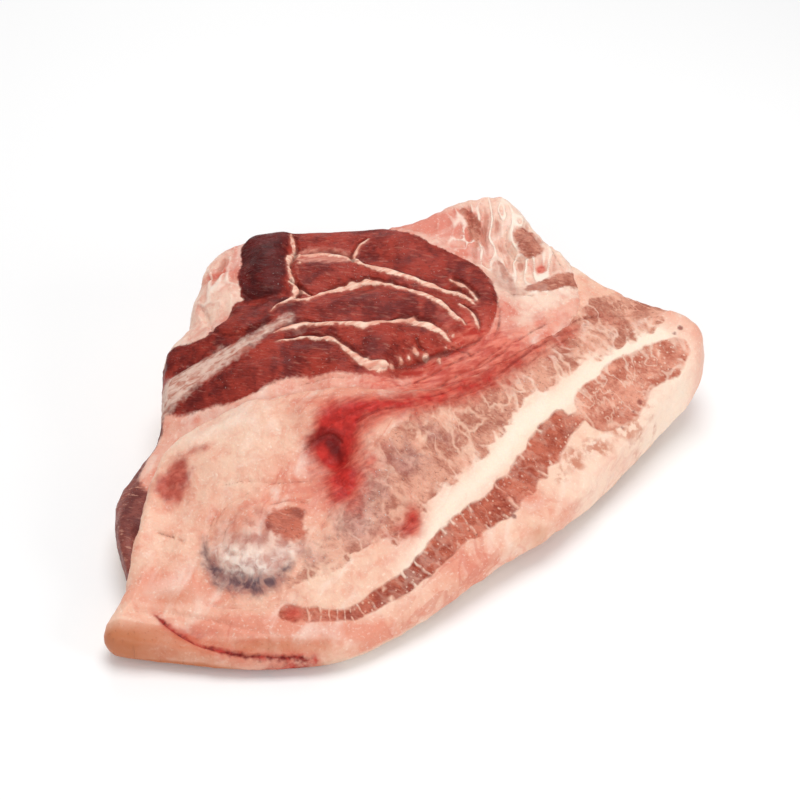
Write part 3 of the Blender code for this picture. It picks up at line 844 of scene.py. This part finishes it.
def show(data, material, name):
    """Puts a finished mesh in the scene as a piece that stands for the slab."""
    close(data)
    for extra in ("custom_normal", "sharp_face", "sharp_edge"):
        if extra in data.attributes:
            data.attributes.remove(data.attributes[extra])
    data.shade_smooth()
    data.materials.clear()
    data.materials.append(material)
    piece = bpy.data.objects.new(name, data)
    bpy.context.scene.collection.objects.link(piece)
    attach(piece, "root")
    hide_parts("pork_neck")


show(bed_data, bed_material(), "muscle_bed")

# ----------------------------------------------------------------------------------------------------
# The flap: the front half of the piece, from the thin lip to the thick end. Its bevelled cut face shows
# streaks of lean between bands of fat, and its free rim lies over the muscles. It is a fine copy of the
# solid's skin too, with its rim rolled over and tucked under.

RIM_RINGS = (
    # how far behind the rim, and how far below the skin, in millimetres
    (0.9, 0.7),
    (1.4, 2.0),
    (1.3, 3.6),
    (0.6, 5.2),
    (-1.2, 6.8),
    (-4.5, 8.6),
)
marbled_lean = smooth_line(
    (-58, -95), (-43, -93), (-32, -84), (-20, -77), (-9, -74), (5, -56), (21, -39), (31, -26), (41, -11),
    (49, 0), (63, 10), (80, 24), (105, 44), (118, 57), (106, 59), (90, 56), (65, 41), (46, 24), (27, 8),
    (9, -9), (-9, -26), (-19, -36), (-24, -49), (-31, -62), (-39, -73), (-52, -85), closed=True,
)
upper_lean = smooth_line(
    (70, 42), (80, 43), (95, 51), (113, 59), (122, 68), (112, 73), (98, 71), (90, 66), (82, 60), (76, 51),
    closed=True,
)
thick_lean = smooth_line(
    (71, 4), (73, 11), (82, 18), (88, 26), (103, 38), (119, 47.5), (127, 46), (126, 37), (120, 28), (108, 19),
    (103, 9), (93, 1), (83, -3), (76, -1), closed=True,
)
branch_lean = smooth_line((62, -18), (66, -10), (70, -3), (77, 3))
lean_islands = (
    (70, -20, 6, 5, 0.9), (81, -11, 8, 5, 1.0), (91, -2, 7, 4, 0.9), (99, 3, 5, 4, 0.8), (63, -28, 4, 5, 0.7),
    (107, 12, 4, 4, 0.7),
)
# Small clots of blood in the lean: x, y and radius in millimetres.
clots = (
    (102, 13, 1.1), (99, 8, 0.8), (124, 53, 1.3), (121, 50, 0.8), (41, -52, 1.2), (30, -58, 0.7), (93, 0, 0.6)
)
streak_lean = smooth_line(
    (-57, -104), (-50, -105), (-41, -105), (-34, -105), (-28, -104), (-20, -98.5), (-5, -88), (4, -78),
    (15, -65), (22, -59), (32, -50), (42, -39), (50, -27), (57, -17), (64, -5),
)
STREAK_HALF_WIDTHS = (3.4, 3.2, 2.6, 2.6, 2.9, 3.4, 4.0, 4.6, 5.2, 5.6, 6.0, 6.4, 6.6, 6.4, 5.2)
STREAK_LENGTH = 0.178
STREAK_GAPS = (
    # where fat parts the streak, as a share of its way, and how deep it cuts in, in millimetres
    (0.09, 6), (0.13, 2), (0.165, 6), (0.20, 2), (0.235, 4), (0.27, 1.6), (0.31, 3), (0.35, 6), (0.385, 1.6),
    (0.43, 2.2), (0.47, 4), (0.505, 1.8), (0.56, 2.4), (0.59, 1.6), (0.635, 4), (0.67, 2), (0.72, 2.4),
    (0.76, 5), (0.80, 2), (0.86, 3), (0.90, 1.8), (0.95, 2),
)
gland_crescent = smooth_line(
    (-94, -70), (-92, -79), (-86, -87), (-78, -91), (-69, -92.5), (-61, -91), (-55, -86)
)
gland_white = smooth_line((-88, -73), (-83, -81), (-75, -85.5), (-65, -86), (-55, -82))
gland_island = smooth_line(
    (-67, -72), (-64, -66), (-56, -64), (-49, -67), (-51, -71), (-48, -75), (-53, -78), (-61, -77),
    closed=True,
)
blood_hook = smooth_line((-49, -35), (-42, -33), (-37, -36), (-35, -42))
blood_streak = smooth_line(
    (-47, -33), (-27, -26), (-18, -23), (-5, -17), (8, -8), (24, 2), (44, 16), (62, 30), (78, 44)
)
lip_crease = smooth_line(
    (-113, -103), (-107, -108), (-99, -113.5), (-93, -117), (-86, -119), (-76, -121), (-67, -121.5),
    (-57, -122), (-44, -122),
)
pale_course = smooth_line((-5, -86), (12, -56), (31, -33), (49, -7), (66, 5), (80, 20), (112, 48))
flap_creases = (
    # line, half width and depth in millimetres, and how dark its painted shade is
    (((-52, -39), (-46, -34), (-39, -32), (-33, -36)), 1.0, 1.1, 0.9),
    (((-55, -41), (-46, -33), (-39, -29), (-27, -24.5), (-18, -20)), 0.7, 0.6, 0.6),
    (((-31, -30), (-20, -25), (-8, -20), (3, -14)), 0.7, 0.8, 0.7),
    (((-24, -21), (-10, -15), (4, -9), (16, -1), (26, 5)), 0.6, 0.8, 0.6),
    (((12, -9), (22, -2), (33, 6)), 0.6, 0.7, 0.5),
    (((34, 8), (45, 17), (55, 25), (66, 35)), 0.7, 0.9, 0.8),
    (((48, 14), (60, 24), (70, 34)), 0.5, 0.6, 0.5),
    (((66, 38), (78, 47), (92, 53), (106, 59)), 0.7, 0.9, 0.6),
    (((74, 42), (88, 47), (101, 52)), 0.5, 0.6, 0.4),
    (((-115, -66), (-108, -68), (-101, -71)), 0.7, 0.9, 0.9),
    (((-90, -49), (-76, -49), (-63, -51), (-48, -51)), 0.6, 0.7, 0.6),
    (((-82, -66), (-86, -73), (-82, -80), (-74, -83)), 0.9, 0.9, 0.3),
    (((-88, -60), (-93, -70), (-92, -80), (-85, -90)), 1.0, 0.9, 0.4),
    (((-66, -62), (-57, -60), (-48, -62)), 0.8, 0.9, 0.7),
    (((-74, -54), (-84, -58), (-90, -66)), 0.8, 0.8, 0.2),
    (((-62, -80), (-52, -80), (-44, -74), (-38, -64)), 0.9, 0.9, 0.3),
    (((-94, -98), (-80, -101), (-64, -101), (-48, -98)), 1.2, 0.7, 0.1),
    (((-124, -103), (-111, -101.5), (-93, -105), (-76, -110), (-51, -115)), 1.2, 0.8, 0.12),
    (((-12, -71), (-7, -67), (-3, -63)), 0.8, 0.9, 1.0),
    (((-30, -56), (-22, -52), (-14, -50)), 0.6, 0.6, 0.4),
    (((-36, -70), (-26, -66), (-16, -66)), 0.6, 0.6, 0.3),
)
flap_creases = [*as_lines(flap_creases), (lip_crease, 0.9, 1.0, 0.9)]
FLAP_FINE = 0.003  # the flap is split finely this far beside its creases


def flap_detail(at):
    """Where the flap is split finely: beside its creases, on the gland and on the streak of lean."""
    beside = [abs(near(line, at)[0]) < FLAP_FINE for line, *_ in flap_creases]
    gland = spots(at, (-72, -76, 24, 22, 1.0)) > 0.37
    streak = depth_in_band(streak_lean, STREAK_HALF_WIDTHS, at) > -1 * MM
    return np.logical_or.reduce(beside) | gland | streak


def settled_on_rim(mesh):
    """Eases the cells beside the cut, lays its edge on the rim, and returns each edge vertex's way across."""
    at = np.array([vert.co.xy for vert in mesh.verts])
    beside = [vert for vert, side in zip(mesh.verts, near(flap_rim, at, FAR)[0]) if side > -4 * MM]
    edge_verts = [vert for vert in mesh.verts if vert.is_boundary]
    probe = 0.5 * MM
    for _ in range(4):
        bmesh.ops.smooth_vert(mesh, verts=beside, factor=0.5, **ALL_AXES)
        at = np.array([vert.co.xy for vert in edge_verts])
        side = near(flap_rim, at, FAR)[0]
        slope_x = near(flap_rim, at + (probe, 0), FAR)[0] - side
        slope_y = near(flap_rim, at + (0, probe), FAR)[0] - side
        across = np.stack([slope_x, slope_y], 1) / np.hypot(slope_x, slope_y)[:, None]
        for vert, way, gap in zip(edge_verts, across, side):
            vert.co.xy -= Vector(way * gap)
    mesh.normal_update()
    return {vert: Vector((*way, 0.0)) for vert, way in zip(edge_verts, across)}


def roll_under(mesh, ways):
    """Rolls the free rim over and tucks it under, ring by ring."""
    down = Vector((0.0, 0.0, -1.0))
    start = {}
    for vert, way in ways.items():
        start[vert] = (vert.co.copy(), way, down if vert.co.z < SOLE_RISE else vert.normal.copy())
    edges = [edge for edge in mesh.edges if edge.is_boundary]
    for behind, below in RIM_RINGS:
        made = bmesh.ops.extrude_edge_only(mesh, edges=edges)["geom"]
        edges = [item for item in made if isinstance(item, bmesh.types.BMEdge) and item.is_boundary]
        ring = {}
        for vert in [item for item in made if isinstance(item, bmesh.types.BMVert)]:
            above = [edge.other_vert(vert) for edge in vert.link_edges if edge.other_vert(vert) in start]
            ring[vert] = start[above[0]]
            first, way, normal = ring[vert]
            vert.co = first + way * (behind * MM) - normal * (below * MM)
        start = ring


flap_mesh = trimmed(skin, front=True)
split_inside(flap_mesh, flap_detail)
roll_under(flap_mesh, settled_on_rim(flap_mesh))
flap_data = rounded_mesh(flap_mesh, "fat_flap")
bpy.data.meshes.remove(skin)
place, facing, at, _, above_sole, on_top = surveyed(flap_data, 0.1, 0.45)
coarse, middle, fine, ragged, broken = unevenness(place, 1.3)
rim_side, rim_along = near(flap_rim, at, FAR)
fade = smooth_step(0, 0.15, rim_along) * (1 - smooth_step(0.68, 0.95, rim_along))

rise = MM * above_sole * (0.35 * middle + 0.12 * fine)
rim_roll = 0.5 * bell(rim_side + 1.5 * MM, 2 * MM) - 0.35 * bell(rim_side + 6 * MM, 2 * MM)
rise += MM * fade * on_top * rim_roll

# Painted shade along the flap's creases, as dark lines.
shadow = np.full(len(at), -REACH)
press_in(flap_creases, at, ragged * 0.3, 0.15, broken, on_top, rise, shadow)

# Lean: round-ended lobules where the marbled band meets the white fat, and a streak of short strips.
lobule = 11 * MM
nearest = [noise.voronoi(spot)[0][:2] for spot in (place / lobule + 31.0).tolist()]
between = np.array([(second - first) * 0.5 * lobule for first, second in nearest])
marbled = depth_in(marbled_lean, at) + ragged * 0.8
notch = 3.0 * MM * np.exp(-marbled.clip(0, 1) / (2.2 * MM)) - 0.8 * MM
marbled = np.minimum(marbled, between - notch)
marbled = np.maximum(marbled, depth_in(upper_lean, at) + ragged * 0.8)
marbled = np.minimum(marbled, (facing[:, 2] * 30 - 4) * MM)

side, along = near(streak_lean, at)
streak = widths_along(along, STREAK_HALF_WIDTHS) * (1 + 0.25 * waves(place, 6 * MM, 41.0)) - abs(side)
leaning = along + (0.9 * waves(place, 4 * MM, 43.0) + 0.12 * side / MM) * MM / STREAK_LENGTH
for gap, cut in STREAK_GAPS:
    across_gap = abs(leaning - gap) * STREAK_LENGTH + 0.5 * abs(ragged)
    streak = np.minimum(streak, np.maximum(across_gap - 0.45 * MM, streak - cut * MM))
branch = depth_in_band(branch_lean, (1.2, 2.4, 2.6, 2), at) + ragged * 0.5
thick = np.maximum.reduce([streak, depth_in(thick_lean, at) + ragged * 0.7, branch])
thick = np.minimum(thick, (facing[:, 2] * 30 + 2) * MM)
# The clots are the lean's own dark blood, laid into the same depth as the painted shade of the creases.
for x, y, radius in clots:
    shadow = np.maximum(shadow, radius * MM - np.hypot(at[:, 0] - x * MM, at[:, 1] - y * MM))
lean = np.maximum(marbled, thick)
in_lean = smooth_step(-0.6 * MM, 0.6 * MM, lean) * on_top
rise -= in_lean * 0.4 * MM
rise += in_lean * MM * (0.35 * waves(place, 2.8 * MM, 51.0) + 0.15 * fine)

gland = spots(
    at, (-74, -83, 17, 9, 1.2), (-58, -82, 9, 7, 0.6), (-87, -72, 6, 10, 0.5), (-68, -67, 13, 10, 0.5)
).clip(0, 1) * on_top
swirl_centre = (-72 * MM, -70 * MM)
swirl_turn = np.arctan2(at[:, 1] - swirl_centre[1], at[:, 0] - swirl_centre[0]) / (2 * np.pi)
out_from_gland = np.hypot(at[:, 0] - swirl_centre[0], (at[:, 1] - swirl_centre[1]) * 0.85)
out_from_gland += (5 * waves(place, 13 * MM, 65.0) + 1.4 * middle) * MM
rings = 0.5 + 0.5 * np.cos((out_from_gland / (9 * MM) + swirl_turn) * 2 * np.pi)
rise += gland * MM * (0.6 * rings + 0.5 * folds(place, 5 * MM, 63.0) - 0.6)
side, along = near(gland_white, at)
rise += 0.9 * MM * tapered(along, 0.2) * bell(side, 3.2 * MM) * on_top
humps = spots(
    at, (-38, -39, 7, 5, -2.2), (-44, -27, 12, 4, 1.0), (-30, -42, 4, 9, 0.8), (-8, -68, 6, 6, 0.6),
    (-104, -74, 9, 12, 0.5), (-57, -71, 8, 6, -0.9), (-78, -36, 14, 9, 0.7), (-96, -40, 8, 10, -0.5),
    (-64, -44, 16, 5, -0.6), (-92, -60, 10, 6, 0.6),
)
rise += humps * on_top * MM
rise += above_sole * MM * (0.5 * coarse + 0.5 * folds(place * (1.0, 0.7, 1.0), 24 * MM, 81.0)) * (1 - in_lean)
membrane = spots(
    at, (-24, -56, 14, 12, 1.0), (-30, -70, 12, 8, 0.9), (-6, -40, 13, 9, 0.8), (8, -24, 13, 8, 0.7),
    (-46, -82, 9, 8, 0.7), (34, -6, 14, 7, 0.5),
).clip(0, 1)
rise += membrane * on_top * MM * 0.5 * folds(place * (1.0, 0.6, 1.0), 5 * MM, 71.0)
move_out(flap_data, rise)

crescent = depth_in_band(gland_crescent, (0.2, 1.6, 3.2, 4.0, 3.6, 2.2, 0.6), at) + ragged
white = depth_in_band(gland_white, (1.0, 3.4, 4.0, 3.4, 1.0), at) + ragged * 0.8
hook = depth_in_band(blood_hook, (0.5, 2.4, 3.2, 1.0), at) + ragged
streak_side, streak_along = near(blood_streak, at)
lip_side, lip_along = near(lip_crease, at, 0.03)
store(
    flap_data,
    lean=marbled / MM,
    thick=thick / MM,
    gland=gland,
    rings=rings,
    fatty=smooth_step(-4 * MM, 0, depth_in(thick_lean, at)),
    islands=spots(at, *lean_islands).clip(0, 1),
    crescent=crescent / MM,
    white=white / MM,
    island=(depth_in(gland_island, at) + ragged * 0.6) / MM,
    shadow=shadow / MM,
    hook=hook / MM,
    membrane=membrane * on_top,
    pale=(
        bell(near(pale_course, at)[0], 6 * MM)
        + spots(
            at, (110, 0, 22, 26, 0.8), (84, -30, 24, 16, 0.6), (122, 34, 14, 26, 0.7), (-96, -22, 16, 6, 0.6)
        )
    ).clip(0, 1),
    # How strongly the painted glints show: most on the membrane, the gland, beside the streak of blood and on
    # the lean.
    wet=(0.05 + 0.6 * membrane + 0.3 * gland + 0.3 * bell(streak_side, 8 * MM) + 0.25 * in_lean).clip(0, 0.9),
    lip_blood=(0.9 * MM * tapered(lip_along, 0.12) * broken - abs(lip_side + ragged * 0.4)) / MM,
    # Pink tone in places. The spots at (-104, -93) and (-60, -112) are painted shade: darker on the lower
    # left face, and on the fat above the lip towards its front edge.
    blush=spots(
        at, (-108, -44, 11, 16, 0.6), (-76, -72, 26, 22, 0.5), (-8, -69, 10, 8, 0.6), (-74, -24, 26, 8, 0.15),
        (90, 60, 22, 12, 0.4), (-104, -93, 20, 9, 0.9), (70, 36, 16, 12, 0.4), (-60, -112, 34, 6, 0.7),
        (-45, -52, 16, 16, 0.6), (122, 60, 10, 12, 0.7), (-90, -114, 36, 8, 1.0), (-20, -112, 40, 8, 0.6),
        (-34, -15, 17, 7, 1.0), (132, 44, 6, 18, 0.8), (-118, -90, 10, 14, 0.4), (50, -42, 20, 7, 0.6),
        (20, -78, 24, 8, 0.5),
    ).clip(0, 1),
    redness=(
        (1.05 * bell(streak_side - 1 * MM, 8 * MM) + 0.25 * bell(streak_side, 3.5 * MM))
        * tapered(streak_along, 0.06) * (1 - 0.5 * smooth_step(0.6, 1, streak_along))
        + spots(
            at, (-35, -46, 11, 17, 1.3), (-43, -35, 11, 7, 1.1), (-109, -43, 12, 14, 0.45),
            (-97, -30, 8, 3.2, 0.4), (-3, -63, 4, 5, 1.2), (-8, -68, 6, 3, 0.8), (-15, -72, 6, 3, 0.5),
            (-98, -112, 14, 4, 0.8), (-32, -58, 8, 8, 0.6), (84, 50, 20, 5, 0.4),
            (-54, -104.5, 5, 3.5, 1.0), (-76, -60, 7, 5, 0.4), (-20, -44, 10, 10, 0.4),
            (-70, -116, 16, 3, 0.4), (-40, -20, 14, 6, 0.45),
        )
    ).clip(0, 1.8),
    bruise=spots(at, (-110, -44, 8, 9, 1.1), (-106, -38, 5, 7, 0.6), (-98, -30, 8, 3, 0.5)).clip(0, 1),
    # Tan on the rind at the lip. The spots at (-62, -118) and (-106, -95) darken the fat above the lip and on
    # the lower left face: painted shade.
    tanned=spots(
        at, (-131, -118, 14, 8, 1.0), (-110, -114, 18, 6, 0.6), (-100, -121, 26, 5, 0.3),
        (-62, -118, 30, 5, 0.65), (-106, -95, 18, 6, 0.42), (58, -56, 18, 6, 0.4),
    ).clip(0, 0.95),
)


def flap_material():
    material, tree, shader = new_material("flap_meat")
    place = object_place(tree)
    blotch = ease(tree, clouds(tree, place, 0.004, 5.0, 0.5), 0.36, 0.64)
    swirl = ease(tree, clouds(tree, place, 0.011, 5.0, 2.2), 0.38, 0.62)
    surface = use_group(tree, soft_fat, cream=FAT_CREAM, pink=FAT_PINK, blush=stored(tree, "blush"))
    surface = lay_over(tree, surface, (paint(252, 232, 212),), times(tree, stored(tree, "pale"), 0.85))
    ring = maths(tree, "ADD", stored(tree, "rings"), drift(tree, place, 0.004, 2.4, 5.0, 0.8))
    grey = blend(tree, ease(tree, ring, -0.2, 1.2), paint(180, 116, 106), paint(236, 202, 186))
    surface = lay_over(tree, surface, (grey,), patches_of(tree, "gland", 0.2, 0.9, 0.75))
    brown = use_group(tree, muscle_fibre, light=paint(194, 100, 76), dark=paint(142, 58, 42), grain=0.4)
    surface = lay_over(tree, surface, brown, times(tree, share_of(tree, "island", 4.0, 1.4), 0.9))
    pale = use_group(tree, muscle_fibre, light=paint(224, 162, 138), dark=paint(178, 108, 88), grain=0.4)
    lobules = use_group(tree, marbling, depth=stored(tree, "lean"), ragged=0.6, seams=0.7, dots=0.25)[0]
    surface = lay_over(tree, surface, pale, lobules)
    veil = blend(tree, blotch, paint(134, 82, 80), paint(208, 158, 146))
    surface = lay_over(tree, surface, (veil,), patches_of(tree, "membrane", 0.3, 1.0, 0.6))
    fatty = stored(tree, "fatty")
    flecked = ease(tree, clouds(tree, place, 0.0034, 4.0), 0.40, 0.60)
    flecked = times(tree, patches_of(tree, "islands", 0.2, 0.9, 0.9), flecked)
    surface = lay_over(tree, surface, (paint(200, 128, 102),), flecked)
    meat = use_group(
        tree, muscle_fibre, light=blend(tree, fatty, paint(198, 108, 84), paint(228, 158, 134)),
        dark=blend(tree, fatty, paint(154, 66, 48), paint(186, 104, 82)), grain=0.3,
    )
    seams = maths(tree, "ADD", times(tree, fatty, 0.3), 0.2)
    lobules = use_group(tree, marbling, depth=stored(tree, "thick"), ragged=0.3, seams=seams, dots=0.6)[0]
    surface = lay_over(tree, surface, meat, lobules)
    spotted = times(tree, share_of(tree, "crescent", 4.0, 3.0), blend_values(tree, swirl, 1.0, 0.55))
    surface = lay_over(tree, surface, (paint(100, 70, 76),), spotted)
    milky = times(tree, share_of(tree, "white", 6.0, 3.0), blend_values(tree, blotch, 0.15, 0.7))
    surface = lay_over(tree, surface, (paint(246, 230, 218), 1.0), milky)
    # Painted highlights: pale glints, by the stored share.
    surface = lay_over(tree, surface, (paint(252, 242, 234), 1.0), glints(tree, stored(tree, "wet")))
    strands = clouds(tree, object_place(tree, stretch=(3.0, 0.7, 1.0), turn=30.0), 0.0024, 4.0, 0.4)
    sore = blend(tree, blotch, paint(150, 48, 38), paint(190, 92, 76))
    surface = lay_over(tree, surface, (sore,), patches_of(tree, "bruise", 0.1, 1.0, 0.9))
    red = blend(tree, ease(tree, strands, 0.22, 0.76), paint(158, 36, 28), paint(216, 100, 80))
    surface = lay_over(tree, surface, (red,), patches_of(tree, "redness", 0.1, 1.1, 0.9))
    core = blend(tree, blend_values(tree, 0.5, blotch, strands), paint(146, 10, 12), paint(212, 46, 40))
    surface = lay_over(tree, surface, (core,), patches_of(tree, "redness", 0.9, 1.5, 0.9))
    surface = lay_over(tree, surface, (paint(96, 2, 6),), times(tree, share_of(tree, "hook", 3.0, 3.0), 0.85))
    # Painted shade in the creases, and the clots' own dark red, in one layer.
    crease_shade_and_clots = times(tree, share_of(tree, "shadow", 1.4, 0.6), 0.75)
    surface = lay_over(tree, surface, (paint(124, 34, 28), 0.0), crease_shade_and_clots)
    tanned = maths(tree, "ADD", stored(tree, "tanned"), drift(tree, place, 0.009, 0.5))
    tanned = times(tree, stored(tree, "tanned"), ease(tree, tanned, 0.0, 0.4))
    browned = ease(tree, tanned, 0.0, 0.4)
    rind = use_group(tree, rind_skin, pale=SKIN_PALE, tan=SKIN_TAN, tanned=browned)
    rind_shown = maths(tree, "MAXIMUM", rind_share(tree, SKIN_HEIGHT - SKIN_EDGE, SKIN_HEIGHT), tanned)
    surface = lay_over(tree, surface, rind, rind_shown)
    smear = maths(tree, "ADD", stored(tree, "lip_blood"), drift(tree, place, 0.006, 5.0, 4.0, 0.5))
    surface = lay_over(tree, surface, (paint(198, 88, 68),), times(tree, ease(tree, smear, -3.6, 1.0), 0.6))
    blood = blend(tree, blotch, paint(110, 14, 12), paint(190, 60, 48))
    surface = lay_over(tree, surface, (blood,), share_of(tree, "lip_blood", 3.0, 1.0))
    finish_material(tree, shader, surface)
    return material


show(flap_data, flap_material(), "fat_flap")

# ----------------------------------------------------------------------------------------------------
# The stage: a plain pale floor, soft studio lights, and the camera.

bpy.ops.mesh.primitive_plane_add(size=6.0)
floor = bpy.context.object
floor.name = "floor"
paper, paper_tree, paper_shader = new_material("paper")
paper_shader.inputs["Base Color"].default_value = paint(252, 252, 252)
paper_shader.inputs["Roughness"].default_value = 0.9
paper_shader.inputs["Specular IOR Level"].default_value = 0.0
floor.data.materials.append(paper)

LAMPS = (
    # name, place, size and power: over the piece, in front at the left, at the right, and behind
    ("overhead", (0.0, 0.1, 1.1), 0.7, 6.0),
    ("front", (-0.3, -1.0, 0.7), 0.6, 3.0),
    ("right", (1.0, -0.5, 0.5), 0.6, 3.8),
    ("back", (-0.3, 1.1, 0.7), 0.5, 2.2),
)
piece_centre = Vector((0.0, 0.0, 0.03))
for name, where, width, power in LAMPS:
    light = bpy.data.lights.new(name, "AREA")
    light.shape = "DISK"
    light.size = width
    light.energy = power
    lamp = bpy.data.objects.new(name, light)
    lamp.location = where
    lamp.rotation_mode = "QUATERNION"
    lamp.rotation_quaternion = (Vector(where) - piece_centre).to_track_quat("Z", "Y")
    bpy.context.scene.collection.objects.link(lamp)

world = bpy.data.worlds.new("studio")
world.use_nodes = True
world.node_tree.nodes["Background"].inputs["Color"].default_value = (1.0, 1.0, 1.0, 1.0)
world.node_tree.nodes["Background"].inputs["Strength"].default_value = 0.40
bpy.context.scene.world = world
bpy.context.scene.view_settings.view_transform = "Standard"

CAMERA_RISE = math.radians(40)
CAMERA_DISTANCE = 0.9
camera_target = Vector((-0.009, 0.022, 0.030))
lens = bpy.data.cameras.new("camera")
lens.lens = 86.5
lens.sensor_width = 36.0
camera = bpy.data.objects.new("camera", lens)
way_back = Vector((0.0, -math.cos(CAMERA_RISE), math.sin(CAMERA_RISE)))
camera.location = camera_target + way_back * CAMERA_DISTANCE
camera.rotation_mode = "QUATERNION"
camera.rotation_quaternion = way_back.to_track_quat("Z", "Y")
bpy.context.scene.collection.objects.link(camera)
bpy.context.scene.camera = camera
